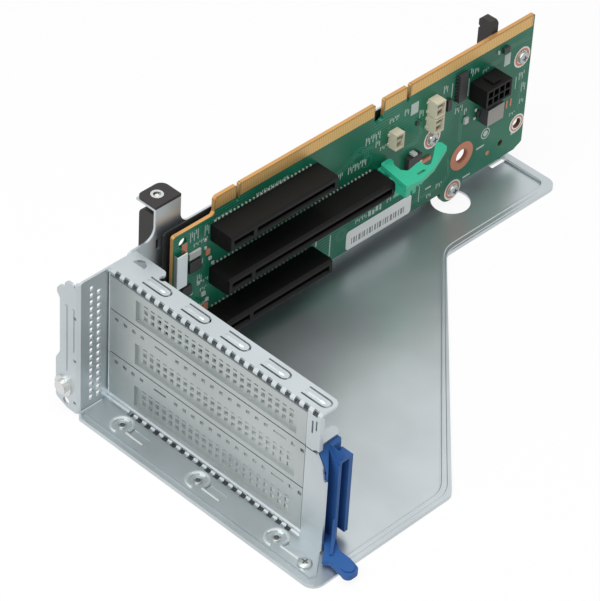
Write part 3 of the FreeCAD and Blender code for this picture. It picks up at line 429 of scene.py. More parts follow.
@dataclass
class Shape:
    """Collects points and faces of one piece, in millimetres of the modelling frame."""

    points: list[Vector] = field(default_factory=list)
    faces: list[list[int]] = field(default_factory=list)

    def add(self, points: Sequence[Sequence[float]], faces: Sequence[Sequence[int]]) -> "Shape":
        """Adds a patch of points and faces.

        Args:
            points: New points.
            faces: Faces as indexes into the new points.

        Returns:
            This shape.
        """
        start = len(self.points)
        self.points += [Vector(point) for point in points]
        self.faces += [[start + index for index in face] for face in faces]
        return self

    def block(self, low: Point, high: Point) -> "Shape":
        """Adds a block between two corners.

        Args:
            low: Lowest corner.
            high: Highest corner.

        Returns:
            This shape.
        """
        (x0, y0, z0), (x1, y1, z1) = low, high
        corners = [(x0, y0, z0), (x1, y0, z0), (x1, y1, z0), (x0, y1, z0),
                   (x0, y0, z1), (x1, y0, z1), (x1, y1, z1), (x0, y1, z1)]
        return self.add(corners, [(0, 3, 2, 1), (4, 5, 6, 7), (0, 1, 5, 4), (1, 2, 6, 5),
                                  (2, 3, 7, 6), (3, 0, 4, 7)])

    def patch(self, y: float, z: float, length: float, height: float, rise: float) -> "Shape":
        """Adds a flat block on the board's face.

        Args:
            y: Its middle along the board.
            z: Its middle height.
            length: Size along the board.
            height: Size upwards.
            rise: How far it stands out.

        Returns:
            This shape.
        """
        return self.block((0.0, y - length / 2, z - height / 2), (rise, y + length / 2, z + height / 2))

    def lofted(self, rings: Sequence[Sequence[Sequence[float]]]) -> "Shape":
        """Adds a closed skin through rings of equal length, capped at both ends.

        Args:
            rings: Rings of points, from one end to the other.

        Returns:
            This shape.
        """
        size = len(rings[0])
        points = [point for ring in rings for point in ring]
        faces = [list(range(size))[::-1], list(range(size * (len(rings) - 1), size * len(rings)))]
        for row in range(len(rings) - 1):
            for index in range(size):
                after = (index + 1) % size
                faces.append([row * size + index, row * size + after,
                              (row + 1) * size + after, (row + 1) * size + index])
        return self.add(points, faces)

    def prism(self, outline: Sequence[Pair], axis: Axis, start: float,
              end: float) -> "Shape":
        """Adds a flat outline thickened along an axis.

        Args:
            outline: Corners in the two other axes, in X, Y, Z order.
            axis: Axis of the thickness.
            start: Where the thickness starts.
            end: Where it ends.

        Returns:
            This shape.
        """
        return self.lofted([[spread(u, v, axis, level) for u, v in outline] for level in (start, end)])

    def turned(self, centre: Point, axis: Axis, profile: Sequence[Pair],
               sides: int = 28) -> "Shape":
        """Adds a solid of revolution.

        Args:
            centre: A point on its axis.
            axis: Axis of revolution.
            profile: Pairs of radius and distance along the axis, from one end to the other.
            sides: Number of flats round the axis.

        Returns:
            This shape.
        """
        rings = []
        for radius, height in profile:
            ring = []
            for index in range(sides):
                turn = 2 * math.pi * index / sides
                offset = spread(radius * math.cos(turn), radius * math.sin(turn), axis, height)
                ring.append(tuple(centre[k] + offset[k] for k in range(3)))
            rings.append(ring)
        return self.lofted(rings)

    def washer(self, centre: Point, axis: Axis, outer: float, inner: float, thickness: float,
               sides: int = 40) -> "Shape":
        """Adds a flat ring that stands on its centre's plane.

        Args:
            centre: Middle of the ring's lower face.
            axis: Axis of the ring.
            outer: Outer radius.
            inner: Inner radius.
            thickness: Height along the axis.
            sides: Number of flats.

        Returns:
            This shape.
        """
        points = []
        faces = []
        for index in range(sides):
            turn = 2 * math.pi * index / sides
            for radius, height in ((outer, 0.0), (outer, thickness), (inner, thickness), (inner, 0.0)):
                offset = spread(radius * math.cos(turn), radius * math.sin(turn), axis, height)
                points.append(tuple(centre[k] + offset[k] for k in range(3)))
            after = (index + 1) % sides
            for corner in range(4):
                other = (corner + 1) % 4
                faces.append((4 * index + corner, 4 * after + corner, 4 * after + other, 4 * index + other))
        return self.add(points, faces)

    def cross(self, middle: Pair, axis: Axis, low: float, high: float, reach: float,
              half: float) -> "Shape":
        """Adds the two bars of a cross recess.

        Args:
            middle: Its centre in the plane across the axis.
            axis: Axis of the screw.
            low: Level of the bars' lower faces.
            high: Level of the first bar's upper face.
            reach: Half of a bar's length.
            half: Half of its width.

        Returns:
            This shape.
        """
        for turn, (u, v) in enumerate(((reach, half), (half, reach))):
            self.block(spread(middle[0] - u, middle[1] - v, axis, low),
                       spread(middle[0] + u, middle[1] + v, axis, high + turn * BAR_STEP))
        return self

    def piece(self, name: str, datum: Datum, material: bpy.types.Material, body: Body,
              slot: str, bevel: float = 0.0) -> bpy.types.Object:
        """Turns the collected faces into an object that rides on a body.

        Args:
            name: Name of the piece.
            datum: Datum that places it.
            material: Its finish.
            body: Body that it moves with.
            slot: Material slot of the record; not used.
            bevel: Width of the rounded edges in millimetres, or zero.

        Returns:
            The object.
        """
        mesh = bpy.data.meshes.new(name)
        mesh.from_pydata([datum.place(point) for point in self.points], [], self.faces)
        mesh.validate()
        piece = bpy.data.objects.new(name, mesh)
        bpy.context.scene.collection.objects.link(piece)
        bpy.context.view_layer.objects.active = piece
        for other in bpy.context.selected_objects:
            other.select_set(False)
        piece.select_set(True)
        bpy.ops.object.mode_set(mode="EDIT")
        bpy.ops.mesh.select_all(action="SELECT")
        bpy.ops.mesh.normals_make_consistent(inside=False)
        bpy.ops.object.mode_set(mode="OBJECT")
        if bevel:
            soften = piece.modifiers.new("rounded edges", "BEVEL")
            soften.width = bevel / MM_IN_METRE
            soften.segments = ROUNDING_STEPS
            soften.limit_method = "ANGLE"
            soften.angle_limit = ROUNDED_FROM
            bpy.ops.object.modifier_apply(modifier=soften.name)
            bpy.ops.object.shade_auto_smooth(angle=SMOOTH_BELOW)
        mesh.materials.append(material)
        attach(piece, body.value)
        log.info("%s: %d faces on %s", name, len(mesh.polygons), body.value)
        return piece


def spread(u: float, v: float, axis: Axis, level: float) -> Point:
    """Puts a flat point and its level in X, Y, Z order.

    Args:
        u: First coordinate in the plane.
        v: Second coordinate in the plane.
        axis: Axis across the plane.
        level: Place along that axis.

    Returns:
        The point.
    """
    values = [u, v]
    values.insert(axis.value, level)
    return (values[0], values[1], values[2])


def rounded(width: float, height: float, radius: float, middle: Pair,
            steps: int = 5) -> list[Pair]:
    """Returns the corners of a rectangle with round corners.

    Args:
        width: Size along the first coordinate.
        height: Size along the second.
        radius: Radius of its corners.
        middle: Centre.
        steps: Points on each corner.

    Returns:
        The outline, in order.
    """
    outline = []
    for corner, (sx, sy) in enumerate(((1, 1), (-1, 1), (-1, -1), (1, -1))):
        for step in range(steps):
            turn = math.pi / 2 * (corner + step / (steps - 1))
            outline.append((middle[0] + sx * (width / 2 - radius) + radius * math.cos(turn),
                            middle[1] + sy * (height / 2 - radius) + radius * math.sin(turn)))
    return outline


def eased_path(corners: Sequence[Pair], reach: float) -> list[Pair]:
    """Rounds the inner corners of a path in plan.

    Args:
        corners: Corners of the path.
        reach: Distance from a corner at which its bend starts.

    Returns:
        The path with a few points at each bend.
    """
    path = [corners[0]]
    for before, here, after in zip(corners[:-2], corners[1:-1], corners[2:]):
        corner = Vector(here)
        enter = corner + (Vector(before) - corner).normalized() * reach
        leave = corner + (Vector(after) - corner).normalized() * reach
        for step in range(BEND_STEPS + 1):
            share = step / BEND_STEPS
            point = enter * (1 - share) ** 2 + corner * 2 * share * (1 - share) + leave * share ** 2
            path.append((point.x, point.y))
    path.append(corners[-1])
    return path


# Sub-assemblies


@dataclass
class SolidDress:
    """Gives each solid of the model the finish of its slot."""

    palette: Palette
    finish_of_slot: dict[Slot, Finish] = field(default_factory=lambda: {
        Slot.SHEET_STEEL: Finish.SHEET, Slot.COVER_STEEL: Finish.COVER,
        Slot.BLUE_MOULDING: Finish.BLUE, Slot.BOARD_GREEN: Finish.BOARD,
        Slot.CONTACT_GOLD: Finish.GOLD, Slot.SOCKET_BLACK: Finish.BLACK,
        Slot.RETAINER_GREEN: Finish.GREEN, Slot.HEADER_CREAM: Finish.CREAM,
        Slot.CHIP_BLACK: Finish.CHIP, Slot.COIL_GREY: Finish.COIL,
        Slot.SCREW_STEEL: Finish.BRIGHT, Slot.SPACER_BRASS: Finish.SPACER,
        Slot.FILM_BLACK: Finish.FILM, Slot.CLIP_STEEL: Finish.BRIGHT,
        Slot.POST_BLACK: Finish.POST, Slot.BUSHING_BRIGHT: Finish.BRIGHT,
        Slot.LABEL_PAPER: Finish.PAPER,
    })

    def dress(self, frame: dict) -> None:
        """Sets the finish of every solid.
        """
        bodies = frame["record"]["behaviour"]["bodies"]
        body_of_node = {node: Body(name) for name, nodes in bodies.items() for node in nodes}
        for entry in frame["record"]["subparts"]:
            name = entry["node"]
            finish = self.finish_of_slot[Slot(entry["material_slot"])]
            node = frame["nodes"][name]
            node.data.materials.clear()
            node.data.materials.append(self.palette.get(finish))
            log.info("%s on the %s wears %s", name, body_of_node[name].value, finish.value.name)


@dataclass
class Group:
    """Pieces of the cage that belong together, with what places and dresses them."""

    palette: Palette
    datum: Datum

    def make(self, shape: Shape, name: str, finish: Finish, slot: Slot,
             bevel: float = 0.0) -> bpy.types.Object:
        """Turns a shape into a piece that rides on the cage.

        Args:
            shape: Its faces.
            name: Its name.
            finish: Its finish.
            slot: Material slot of the record.
            bevel: Width of the rounded edges in millimetres, or zero.

        Returns:
            The piece.
        """
        return shape.piece(name, self.datum, self.palette.get(finish), Body.CAGE, slot.value, bevel)


@dataclass
class BoardFixings(Group):
    """Screws, plated rings and the two copper pads on the riser board."""

    screws: tuple[Pair, ...] = ((219.0, 54.4), (168.0, 39.6), (183.4, 6.0))
    open_hole: Pair = (220.1, 21.0)
    board_depth: float = 1.6

    # Outer and inner radius of each ring, and how far it stands out
    screw_ring: Pair = (4.75, 4.05)
    open_ring: Pair = (4.35, 3.7)
    collar: Pair = (3.0, 2.35)
    screw_collar_rise: float = 0.14
    ring_rise: float = 0.12
    copper_rise: float = 0.10

    # The large copper pad and the dot, and the walls of the holes as outer and inner radius
    pad_middle: Pair = (187.2, 21.1)
    pad_ring: Pair = (6.6, 3.4)
    pad_wall: Pair = (3.3, 3.1)
    dot_middle: Pair = (203.2, 14.4)
    dot_radius: float = 1.1
    open_wall: Pair = (2.26, 2.1)
    small_hole: Pair = (210.9, 15.6)
    small_wall: Pair = (1.42, 1.3)

    # The head's profile has shares of its radius, and heights
    head_radius: float = 2.6
    head_profile: tuple[Pair, ...] = ((1.0, 0.14), (1.0, 0.7), (0.93, 1.2), (0.7, 1.6), (0.42, 1.78))
    head_rounding: float = 0.05
    cross_levels: Pair = (1.72, 1.84)
    cross_reach: float = 1.3
    cross_half: float = 0.28

    def plated(self) -> list[tuple[Pair, Pair, float]]:
        """Lists the plated holes.

        Returns:
            Each hole's place, the radii of its ring and the height of its collar.
        """
        holes = [(place, self.screw_ring, self.screw_collar_rise) for place in self.screws]
        return [*holes, (self.open_hole, self.open_ring, self.ring_rise)]

    def rings(self) -> None:
        """Builds the tinned outer rings."""
        shape = Shape()
        for place, ring, collar_rise in self.plated():
            shape.washer((0.0, *place), Axis.X, *ring, self.ring_rise)
            shape.washer((0.0, *place), Axis.X, *self.collar, collar_rise)
        self.make(shape, "plated_rings", Finish.RING, Slot.BOARD_GREEN)

    def copper(self) -> None:
        """Builds the bare copper inside the rings, the large pad and the dot."""
        shape = Shape()
        for place, ring, _ in self.plated():
            shape.washer((0.0, *place), Axis.X, ring[1], self.collar[0], self.copper_rise)
        shape.washer((0.0, *self.pad_middle), Axis.X, *self.pad_ring, self.ring_rise)
        shape.washer((-self.board_depth, *self.pad_middle), Axis.X, *self.pad_wall, self.board_depth)
        shape.turned((0.0, *self.dot_middle), Axis.X,
                     [(self.dot_radius, 0.0), (self.dot_radius, self.ring_rise)])
        self.make(shape, "copper_pads", Finish.COPPER, Slot.BOARD_GREEN)

    def hole_walls(self) -> None:
        """Builds the plated walls of the open hole and of the small one, in darker copper that is painted
        shade inside the holes.
        """
        shape = Shape()
        for place, wall in ((self.open_hole, self.open_wall), (self.small_hole, self.small_wall)):
            shape.washer((-self.board_depth, *place), Axis.X, *wall, self.board_depth)
        self.make(shape, "hole_walls", Finish.BORE, Slot.BOARD_GREEN)

    def heads(self) -> None:
        """Builds the pan heads, in place of the plain ones."""
        shape = Shape()
        profile = [(self.head_radius * share, height) for share, height in self.head_profile]
        for place in self.screws:
            shape.turned((0.0, *place), Axis.X, profile)
        heads = self.make(shape, "board_screw_heads", Finish.COVER, Slot.SCREW_STEEL, self.head_rounding)
        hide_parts("board_screws")

    def recesses(self) -> None:
        """Builds the dark crosses in the screw heads, painted shade standing for their recesses."""
        shape = Shape()
        for place in self.screws:
            shape.cross(place, Axis.X, *self.cross_levels, self.cross_reach, self.cross_half)
        self.make(shape, "board_screw_cross_shade", Finish.CHIP, Slot.SCREW_STEEL)

    def build(self) -> None:
        """Builds every piece of the group."""
        self.rings()
        self.copper()
        self.hole_walls()
        self.heads()
        self.recesses()


@dataclass
class CardSockets(Group):
    """Card sockets with softened lips, their contact springs and the soldered ends beside them."""

    centres: tuple[float, ...] = (17.1, 37.42, 57.74)
    lengths: tuple[float, ...] = (56.0, 89.0, 56.0)
    names: tuple[str, ...] = ("bottom", "middle", "top")
    start: float = 46.4
    seat: float = 0.1
    height: float = 11.0
    half_width: float = 3.75
    key_place: float = 12.6
    key_half: float = 0.95
    end_wall: float = 1.6

    # Slopes of the lips, along X and Z, and of the card slot's mouth
    lower_lip: Pair = (1.5, 1.35)
    upper_lip: Pair = (0.9, 0.9)
    mouth: Pair = (0.7, 0.6)
    slot_half: float = 0.9
    slot_floor: float = 3.0

    # Contacts: the springs stand in the slot, the soldered ends beside the housing
    pitch: float = 2.0
    spring_first: float = 2.6
    spring_margin: float = 5.0
    spring_levels: Pair = (3.2, 8.6)
    spring_line: float = 0.75
    spring_half: Pair = (0.3, 0.12)
    end_first: float = 2.0
    end_margin: float = 3.0
    end_gap: float = 0.75
    end_half: float = 0.31
    end_rise: float = 0.5

    def section(self, centre: float, open_slot: bool) -> list[Pair]:
        """Returns a socket's section as X and Z corners.

        Args:
            centre: Height of the socket's middle plane.
            open_slot: Whether the card slot cuts through the section.

        Returns:
            The outline, in order.
        """
        top, floor, slot = self.height, self.slot_floor, self.slot_half
        low, high = centre - self.half_width, centre + self.half_width
        lower = [(self.seat, low), (top - self.lower_lip[0], low), (top, low + self.lower_lip[1])]
        upper = [(top, high - self.upper_lip[1]), (top - self.upper_lip[0], high), (self.seat, high)]
        if not open_slot:
            return lower + upper
        deep, wide = self.mouth
        mouth = [(top, centre - slot - wide), (top - deep, centre - slot), (floor, centre - slot),
                 (floor, centre + slot), (top - deep, centre + slot), (top, centre + slot + wide)]
        return lower + mouth + upper

    def housings(self) -> None:
        """Builds the three housings, in place of the plain ones."""
        for name, centre, length in zip(self.names, self.centres, self.lengths):
            key = self.start + self.key_place
            end = self.start + length
            shape = Shape()
            for near, far, open_slot in ((self.start, self.start + self.end_wall, False),
                                         (self.start + self.end_wall, key - self.key_half, True),
                                         (key - self.key_half, key + self.key_half, False),
                                         (key + self.key_half, end - self.end_wall, True),
                                         (end - self.end_wall, end, False)):
                shape.prism(self.section(centre, open_slot), Axis.Y, near, far)
            housing = self.make(shape, "socket_" + name, Finish.BLACK, Slot.SOCKET_BLACK)
            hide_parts("slot_connector_" + name)

    def solder_ends(self) -> None:
        """Builds the two rows of soldered ends beside each socket."""
        shape = Shape()
        half = self.end_half
        for centre, length in zip(self.centres, self.lengths):
            for side in (-1, 1):
                z = centre + side * (self.half_width + self.end_gap)
                for index in range(int((length - self.end_margin) / self.pitch)):
                    y = self.start + self.end_first + index * self.pitch
                    shape.block((0.0, y - half, z - half), (self.end_rise, y + half, z + half))
        self.make(shape, "solder_ends", Finish.SOLDER, Slot.BOARD_GREEN)

    def springs(self) -> None:
        """Builds the contact springs that show in the open slots, in the sockets' black, which is painted
        shade inside the slots.
        """
        shape = Shape()
        low, high = self.spring_levels
        along, across = self.spring_half
        for centre, length in zip(self.centres, self.lengths):
            for index in range(int((length - self.spring_margin) / self.pitch)):
                y = self.start + self.spring_first + index * self.pitch
                for side in (-1, 1):
                    z = centre + side * self.spring_line
                    shape.block((low, y - along, z - across), (high, y + along, z + across))
        self.make(shape, "socket_springs", Finish.BLACK, Slot.SOCKET_BLACK)

    def build(self) -> None:
        """Builds every piece of the group."""
        self.housings()
        self.solder_ends()
        self.springs()


@dataclass
class CableHeaders(Group):
    """Small headers with walls, a back and a middle tongue round their plug mouths."""

    # Name, near end, lower side, length, height and reach of each
    headers: tuple[tuple[str, float, float, float, float, float], ...] = (
        ("a", 142.0, 48.6, 4.6, 7.4, 4.2),
        ("b", 163.6, 53.65, 5.0, 7.2, 5.0),
        ("c", 163.6, 46.1, 5.0, 7.2, 5.0),
    )
    wall: float = 0.8
    back_share: float = 0.5
    near_wall_drop: float = 0.5
    tongue_half: float = 0.7
    tongue_drop: float = 0.9

    # Soldered ends: how far each stands out, its length and height, and its place from either side
    end_rise: float = 0.6
    end_size: Pair = (0.7, 1.0)
    end_places: Pair = (1.0, -2.0)

    def build(self) -> None:
        """Builds each header, in place of the plain one."""
        wall = self.wall
        for name, near, low, length, height, reach in self.headers:
            far, top = near + length, low + height
            back, middle = reach * self.back_share, (low + top) / 2
            shape = Shape()
            shape.block((0.0, near, low), (back, far, top))
            shape.block((back, near, low), (reach, far, low + wall))
            shape.block((back, near, top - wall), (reach, far, top))
            shape.block((back, near, low + wall), (reach - self.near_wall_drop, near + wall, top - wall))
            shape.block((back, far - wall, low + wall), (reach, far, top - wall))
            shape.block((back, near + wall, middle - self.tongue_half),
                        (reach - self.tongue_drop, far - wall, middle + self.tongue_half))
            for z in (low + self.end_places[0], top + self.end_places[1]):
                shape.block((0.0, near - self.end_size[0], z), (self.end_rise, near, z + self.end_size[1]))
            header = self.make(shape, "header_" + name, Finish.CREAM, Slot.HEADER_CREAM)
            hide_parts("cable_header_" + name)


@dataclass
class BoardParts(Group):
    """Small soldered parts, printed marks, the coil's face, the clip, the gold edge and the label."""

    # Middle, length, height and depth of each part
    small_black: tuple[Row, ...] = (
        (38.3, 46.8, 6.0, 5.0, 1.2), (34.2, 36.8, 5.0, 4.4, 1.3), (208.0, 63.4, 3.4, 2.6, 1.2),
        (175.7, 52.4, 2.4, 5.4, 1.3), (198.0, 43.6, 1.6, 3.4, 0.9), (194.4, 38.6, 1.4, 3.2, 0.8),
        (156.4, 34.2, 7.6, 7.2, 2.4), (149.5, 52.4, 1.6, 1.6, 0.6), (158.0, 52.0, 1.4, 1.8, 0.6),
    )
    small_tin: tuple[Row, ...] = (
        (38.2, 52.1, 6.0, 3.2, 0.9), (46.3, 45.9, 1.5, 1.5, 0.7), (47.9, 42.8, 1.3, 1.3, 0.6),
        (31.4, 41.6, 1.4, 1.4, 0.6), (36.9, 34.0, 1.2, 1.6, 0.7), (43.4, 30.3, 2.0, 1.8, 0.8),
        (45.4, 26.5, 1.6, 1.6, 0.7), (187.2, 39.0, 2.2, 3.0, 1.1), (156.0, 38.9, 2.2, 1.2, 2.6),
        (159.6, 33.4, 1.4, 2.2, 2.6), (203.8, 63.8, 0.8, 1.6, 0.7), (40.6, 36.8, 1.4, 1.6, 0.6),
        (193.0, 41.2, 1.0, 1.4, 0.6), (192.6, 37.2, 1.2, 1.2, 0.6), (43.8, 55.6, 1.2, 1.2, 0.5),
        (43.9, 51.8, 1.2, 1.2, 0.5), (171.5, 43.4, 1.2, 1.6, 0.6),
    )
    small_copper: tuple[Row, ...] = (
        (44.9, 49.6, 2.0, 2.4, 0.8), (44.6, 23.4, 2.4, 3.0, 0.8), (164.0, 31.0, 6.6, 1.8, 0.9),
        (33.2, 57.4, 2.8, 4.2, 0.1), (209.9, 34.2, 1.0, 3.8, 0.2), (212.3, 34.2, 1.0, 3.8, 0.2),
        (214.7, 34.2, 1.0, 3.8, 0.2),
    )
    part_rounding: float = 0.15

    # Middle, length and height of each printed patch or line
    marks: tuple[Row, ...] = (
        (156.1, 60.1, 4.2, 5.4), (210.0, 57.4, 3.6, 5.6), (187.4, 57.0, 0.4, 13.0),
        (198.4, 19.7, 4.6, 0.9), (191.4, 8.9, 4.4, 0.9), (218.4, 17.0, 2.6, 1.4),
        (112.4, 15.6, 0.6, 10.4), (104.4, 20.6, 1.0, 2.4), (134.3, 19.9, 1.5, 2.6),
        (136.4, 19.5, 1.3, 2.2), (138.4, 20.2, 1.5, 2.4), (140.4, 20.0, 0.9, 2.8),
        (168.3, 14.8, 3.2, 0.8), (163.0, 14.4, 0.4, 8.0), (216.8, 42.6, 0.4, 6.0),
    )
    # Start, end, middle height and stroke height of each row of printed strokes
    stroke_rows: tuple[Row, ...] = (
        (70.0, 88.0, 62.4, 2.2), (49.0, 58.0, 62.2, 1.6), (129.0, 138.0, 57.2, 3.6),
        (142.0, 148.0, 60.6, 2.4), (108.0, 118.0, 47.6, 3.0), (120.0, 131.0, 47.8, 3.4),
        (36.0, 41.6, 60.6, 4.6), (40.6, 44.4, 46.6, 3.2), (177.4, 179.0, 58.0, 7.0),
        (206.8, 210.6, 50.0, 2.2), (220.6, 223.6, 38.6, 4.6), (220.4, 223.4, 31.6, 2.4),
        (150.4, 153.4, 60.6, 3.0), (190.4, 194.0, 61.0, 2.6), (43.4, 46.4, 60.0, 5.0),
        (35.2, 38.6, 30.0, 4.0), (40.2, 44.0, 38.6, 4.0), (37.0, 46.0, 24.6, 3.0),
        (38.0, 46.0, 56.0, 1.6), (41.6, 46.4, 36.4, 1.6), (34.6, 40.6, 44.6, 1.6),
        (42.0, 46.4, 32.6, 1.6), (172.6, 175.8, 60.6, 3.6), (187.2, 190.4, 61.4, 4.4),
        (195.4, 199.4, 58.4, 1.6), (218.4, 222.4, 45.0, 3.6), (180.6, 186.0, 46.4, 3.0),
        (186.2, 189.0, 43.4, 3.0), (214.8, 218.8, 27.6, 1.6), (159.2, 162.6, 55.6, 3.6),
        (167.8, 171.4, 10.6, 1.8), (173.0, 177.0, 13.0, 2.2), (144.0, 147.4, 21.2, 2.4),
        (137.6, 141.6, 49.6, 1.8), (134.8, 138.0, 53.2, 3.0), (126.4, 133.4, 19.8, 2.0),
        (160.0, 166.0, 20.4, 3.2),
    )
    # Path, number and pitch of the conductors in each bundle
    bundles: tuple[tuple[tuple[Pair, ...], int, float], ...] = (
        (((104.0, 50.6), (116.0, 50.6), (121.0, 54.0), (133.0, 54.0)), 3, 0.8),
        (((34.4, 63.4), (42.0, 63.4), (42.0, 44.0), (39.0, 41.0), (39.0, 31.0), (42.0, 28.0)), 4, 0.7),
        (((178.6, 24.0), (179.6, 16.0), (176.0, 12.4), (150.0, 12.4)), 2, 0.9),
        (((156.0, 56.0), (160.0, 52.6), (160.0, 46.0), (157.4, 43.4), (150.0, 43.4)), 3, 0.7),
        (((180.4, 49.6), (184.0, 46.0), (184.0, 30.0)), 3, 0.8),
        (((196.0, 60.0), (205.0, 60.0), (209.0, 63.4), (222.0, 63.4)), 3, 0.8),
        (((60.0, 50.0), (60.0, 47.0)), 1, 0.5), (((104.0, 24.4), (120.0, 24.4), (124.0, 20.6)), 3, 0.8),
        (((222.6, 50.0), (219.4, 47.0), (219.4, 28.0)), 2, 0.8),
    )
    # Middle and radius of each round conductor
    arcs: tuple[Row, ...] = (
        (126.0, 51.0, 3.0), (126.0, 51.0, 4.0), (126.0, 51.0, 5.0), (143.6, 56.0, 2.2),
        (130.4, 47.4, 2.6), (118.6, 17.6, 2.8), (118.6, 17.6, 1.8),
    )
    line_width: float = 0.28
    line_rise: float = 0.02

    print_rise: float = 0.03
    stroke_pitch: float = 0.95
    stroke_width: float = 0.42
    stroke_shares: tuple[float, ...] = (1.0, 0.55, 0.8, 0.4)
    stroke_shifts: tuple[float, ...] = (0.0, 0.2, -0.1, 0.3)
    round_mark: Pair = (200.9, 25.4)
    round_ring: Pair = (2.6, 2.1)
    round_ring_rise: float = 0.04
    round_dot: float = 1.4

    coil_low: Point = (4.2, 196.2, 33.4)
    coil_high: Point = (4.35, 205.6, 41.2)

    # The bars' ends and heights are counted from the label's middle
    label_middle: Pair = (140.1, 12.3)
    label_size: Pair = (37.0, 9.2)
    label_corner: float = 1.6
    label_rise: float = 0.08
    bar_rise: float = 0.02
    bar_ends: Pair = (-15.5, 14.5)
    bar_heights: Pair = (-2.6, 0.4)
    bar_widths: tuple[float, ...] = (0.45, 0.9, 0.6, 1.2)
    bar_gaps: tuple[float, ...] = (0.7, 0.5, 0.9)

    # The clip's levels are those of its feet, its folds and its face
    clip_heights: Pair = (41.0, 56.5)
    clip_ends: Pair = (27.9, 33.2)
    clip_wall: float = 0.4
    clip_levels: Row = (0.05, 1.5, 2.0)

    # Gold on the upper edge: between the notches, on upright sides, and round the corners
    gold_skin: Pair = (-1.58, -0.02)
    gold_front: float = 0.05
    gold_side: float = 0.08
    gold_runs: tuple[Pair, ...] = ((48.4, 58.9), (61.1, 132.8), (138.4, 150.7), (152.9, 223.8))
    gold_band: Pair = (67.4, 72.6)
    gold_lip: Pair = (72.5, 72.86)
    gold_top: Pair = (72.88, 72.96)
    top_insets: Pair = (0.5, 0.3)
    lip_insets: Pair = (0.6, 0.5)
    gold_step: tuple[Pair, Pair] = ((28.5, 65.08), (47.3, 65.14))
    gold_fillet: tuple[Pair, ...] = ((46.85, 65.1), (48.12, 65.1), (48.12, 66.4))
    gold_sides: tuple[Row, ...] = (
        (48.02, 66.4, 71.5), (60.72, 66.4, 72.3), (138.02, 65.4, 72.3), (152.52, 66.6, 72.3),
        (27.32, 9.0, 64.0),
    )
    # Place of each sharp corner, its radius, and the side on which its middle lies
    gold_corners: tuple[tuple[float, float, float, int], ...] = (
        (48.1, 72.88, 1.5, 1), (60.8, 72.88, 0.5, 1), (138.1, 72.88, 0.5, 1), (152.6, 72.88, 0.5, 1),
        (27.4, 65.08, 1.0, 1), (59.2, 72.88, 0.6, -1), (133.1, 72.88, 0.6, -1), (151.0, 72.88, 0.6, -1),
        (224.44, 72.88, 1.0, -1),
    )
    corner_reaches: Pair = (-0.03, 0.05)
    corner_steps: int = 4

    def soldered(self) -> None:
        """Builds the small black, tinned and copper parts."""
        for name, parts, finish in (("small_chips", self.small_black, Finish.CHIP),
                                    ("small_caps", self.small_tin, Finish.TIN),
                                    ("small_coils", self.small_copper, Finish.COPPER)):
            shape = Shape()
            for y, z, length, height, depth in parts:
                shape.patch(y, z, length, height, depth)
            self.make(shape, name, finish, Slot.BOARD_GREEN, self.part_rounding)

    def printed(self) -> None:
        """Builds the plain printed patches and lines."""
        shape = Shape()
        for y, z, length, height in self.marks:
            shape.patch(y, z, length, height, self.print_rise)
        middle = (0.0, *self.round_mark)
        shape.washer(middle, Axis.X, *self.round_ring, self.round_ring_rise)
        shape.turned(middle, Axis.X, [(self.round_dot, 0.0), (self.round_dot, self.print_rise)])
        for start, end, z, height in self.stroke_rows:
            for index in range(int((end - start) / self.stroke_pitch)):
                y = start + index * self.stroke_pitch + self.stroke_width / 2
                share = self.stroke_shares[index % len(self.stroke_shares)]
                shift = self.stroke_shifts[index % len(self.stroke_shifts)] * height
                shape.patch(y, z + shift, self.stroke_width, height * share, self.print_rise)
        self.make(shape, "printed_marks", Finish.LEGEND, Slot.BOARD_GREEN)

    def traces(self) -> None:
        """Builds the bundles of conductors that show through the solder mask."""
        shape = Shape()
        half = self.line_width / 2
        for path, count, pitch in self.bundles:
            for shift in (index * pitch for index in range(count)):
                for (y0, z0), (y1, z1) in zip(path[:-1], path[1:]):
                    run = math.hypot(y1 - y0, z1 - z0)
                    across = Vector(((z0 - z1) / run * half, (y1 - y0) / run * half))
                    start, end = Vector((y0 + shift, z0 - shift)), Vector((y1 + shift, z1 - shift))
                    shape.prism([start - across, end - across, end + across, start + across], Axis.X, 0.0,
                                self.line_rise)
        for y, z, radius in self.arcs:
            shape.washer((0.0, y, z), Axis.X, radius + half, radius - half, self.line_rise)
        self.make(shape, "board_lines", Finish.TRACE, Slot.BOARD_GREEN)

    def coil_front(self) -> None:
        """Builds the coil's light front face."""
        shape = Shape().block(self.coil_low, self.coil_high)
        self.make(shape, "coil_front", Finish.COIL_FACE, Slot.COIL_GREY)

    def label(self) -> None:
        """Builds the label with round corners, in place of the plain one, and its generic bars."""
        outline = rounded(*self.label_size, self.label_corner, self.label_middle)
        shape = Shape().prism(outline, Axis.X, 0.0, self.label_rise)
        paper = self.make(shape, "label_sheet", Finish.PAPER, Slot.LABEL_PAPER)
        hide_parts("board_label")
        bars = Shape()
        low, high = (self.label_middle[1] + height for height in self.bar_heights)
        y, last = (self.label_middle[0] + end for end in self.bar_ends)
        step = 0
        while y < last:
            width = self.bar_widths[step % len(self.bar_widths)]
            bars.block((self.label_rise, y, low), (self.label_rise + self.bar_rise, y + width, high))
            y += width + self.bar_gaps[step % len(self.bar_gaps)]
            step += 1
        self.make(bars, "label_bars", Finish.INK, Slot.LABEL_PAPER)

    def clip(self) -> None:
        """Builds the folded clip at the board's near end, in place of the plain one, with painted shade on
        its flanges and a painted highlight on its face.
        """
        low, high = self.clip_heights
        near, far = self.clip_ends
        foot, fold, front = self.clip_levels
        flanges = Shape().block((foot, near, low), (fold, near + self.clip_wall, high))
        flanges.block((foot, far - self.clip_wall, low), (fold, far, high))
        self.make(flanges, "clip_flanges", Finish.DULL, Slot.CLIP_STEEL)
        face = Shape().block((fold, near, low), (front, far, high))
        piece = self.make(face, "clip_face", Finish.RIM, Slot.CLIP_STEEL, self.part_rounding)
        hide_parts("board_clip")

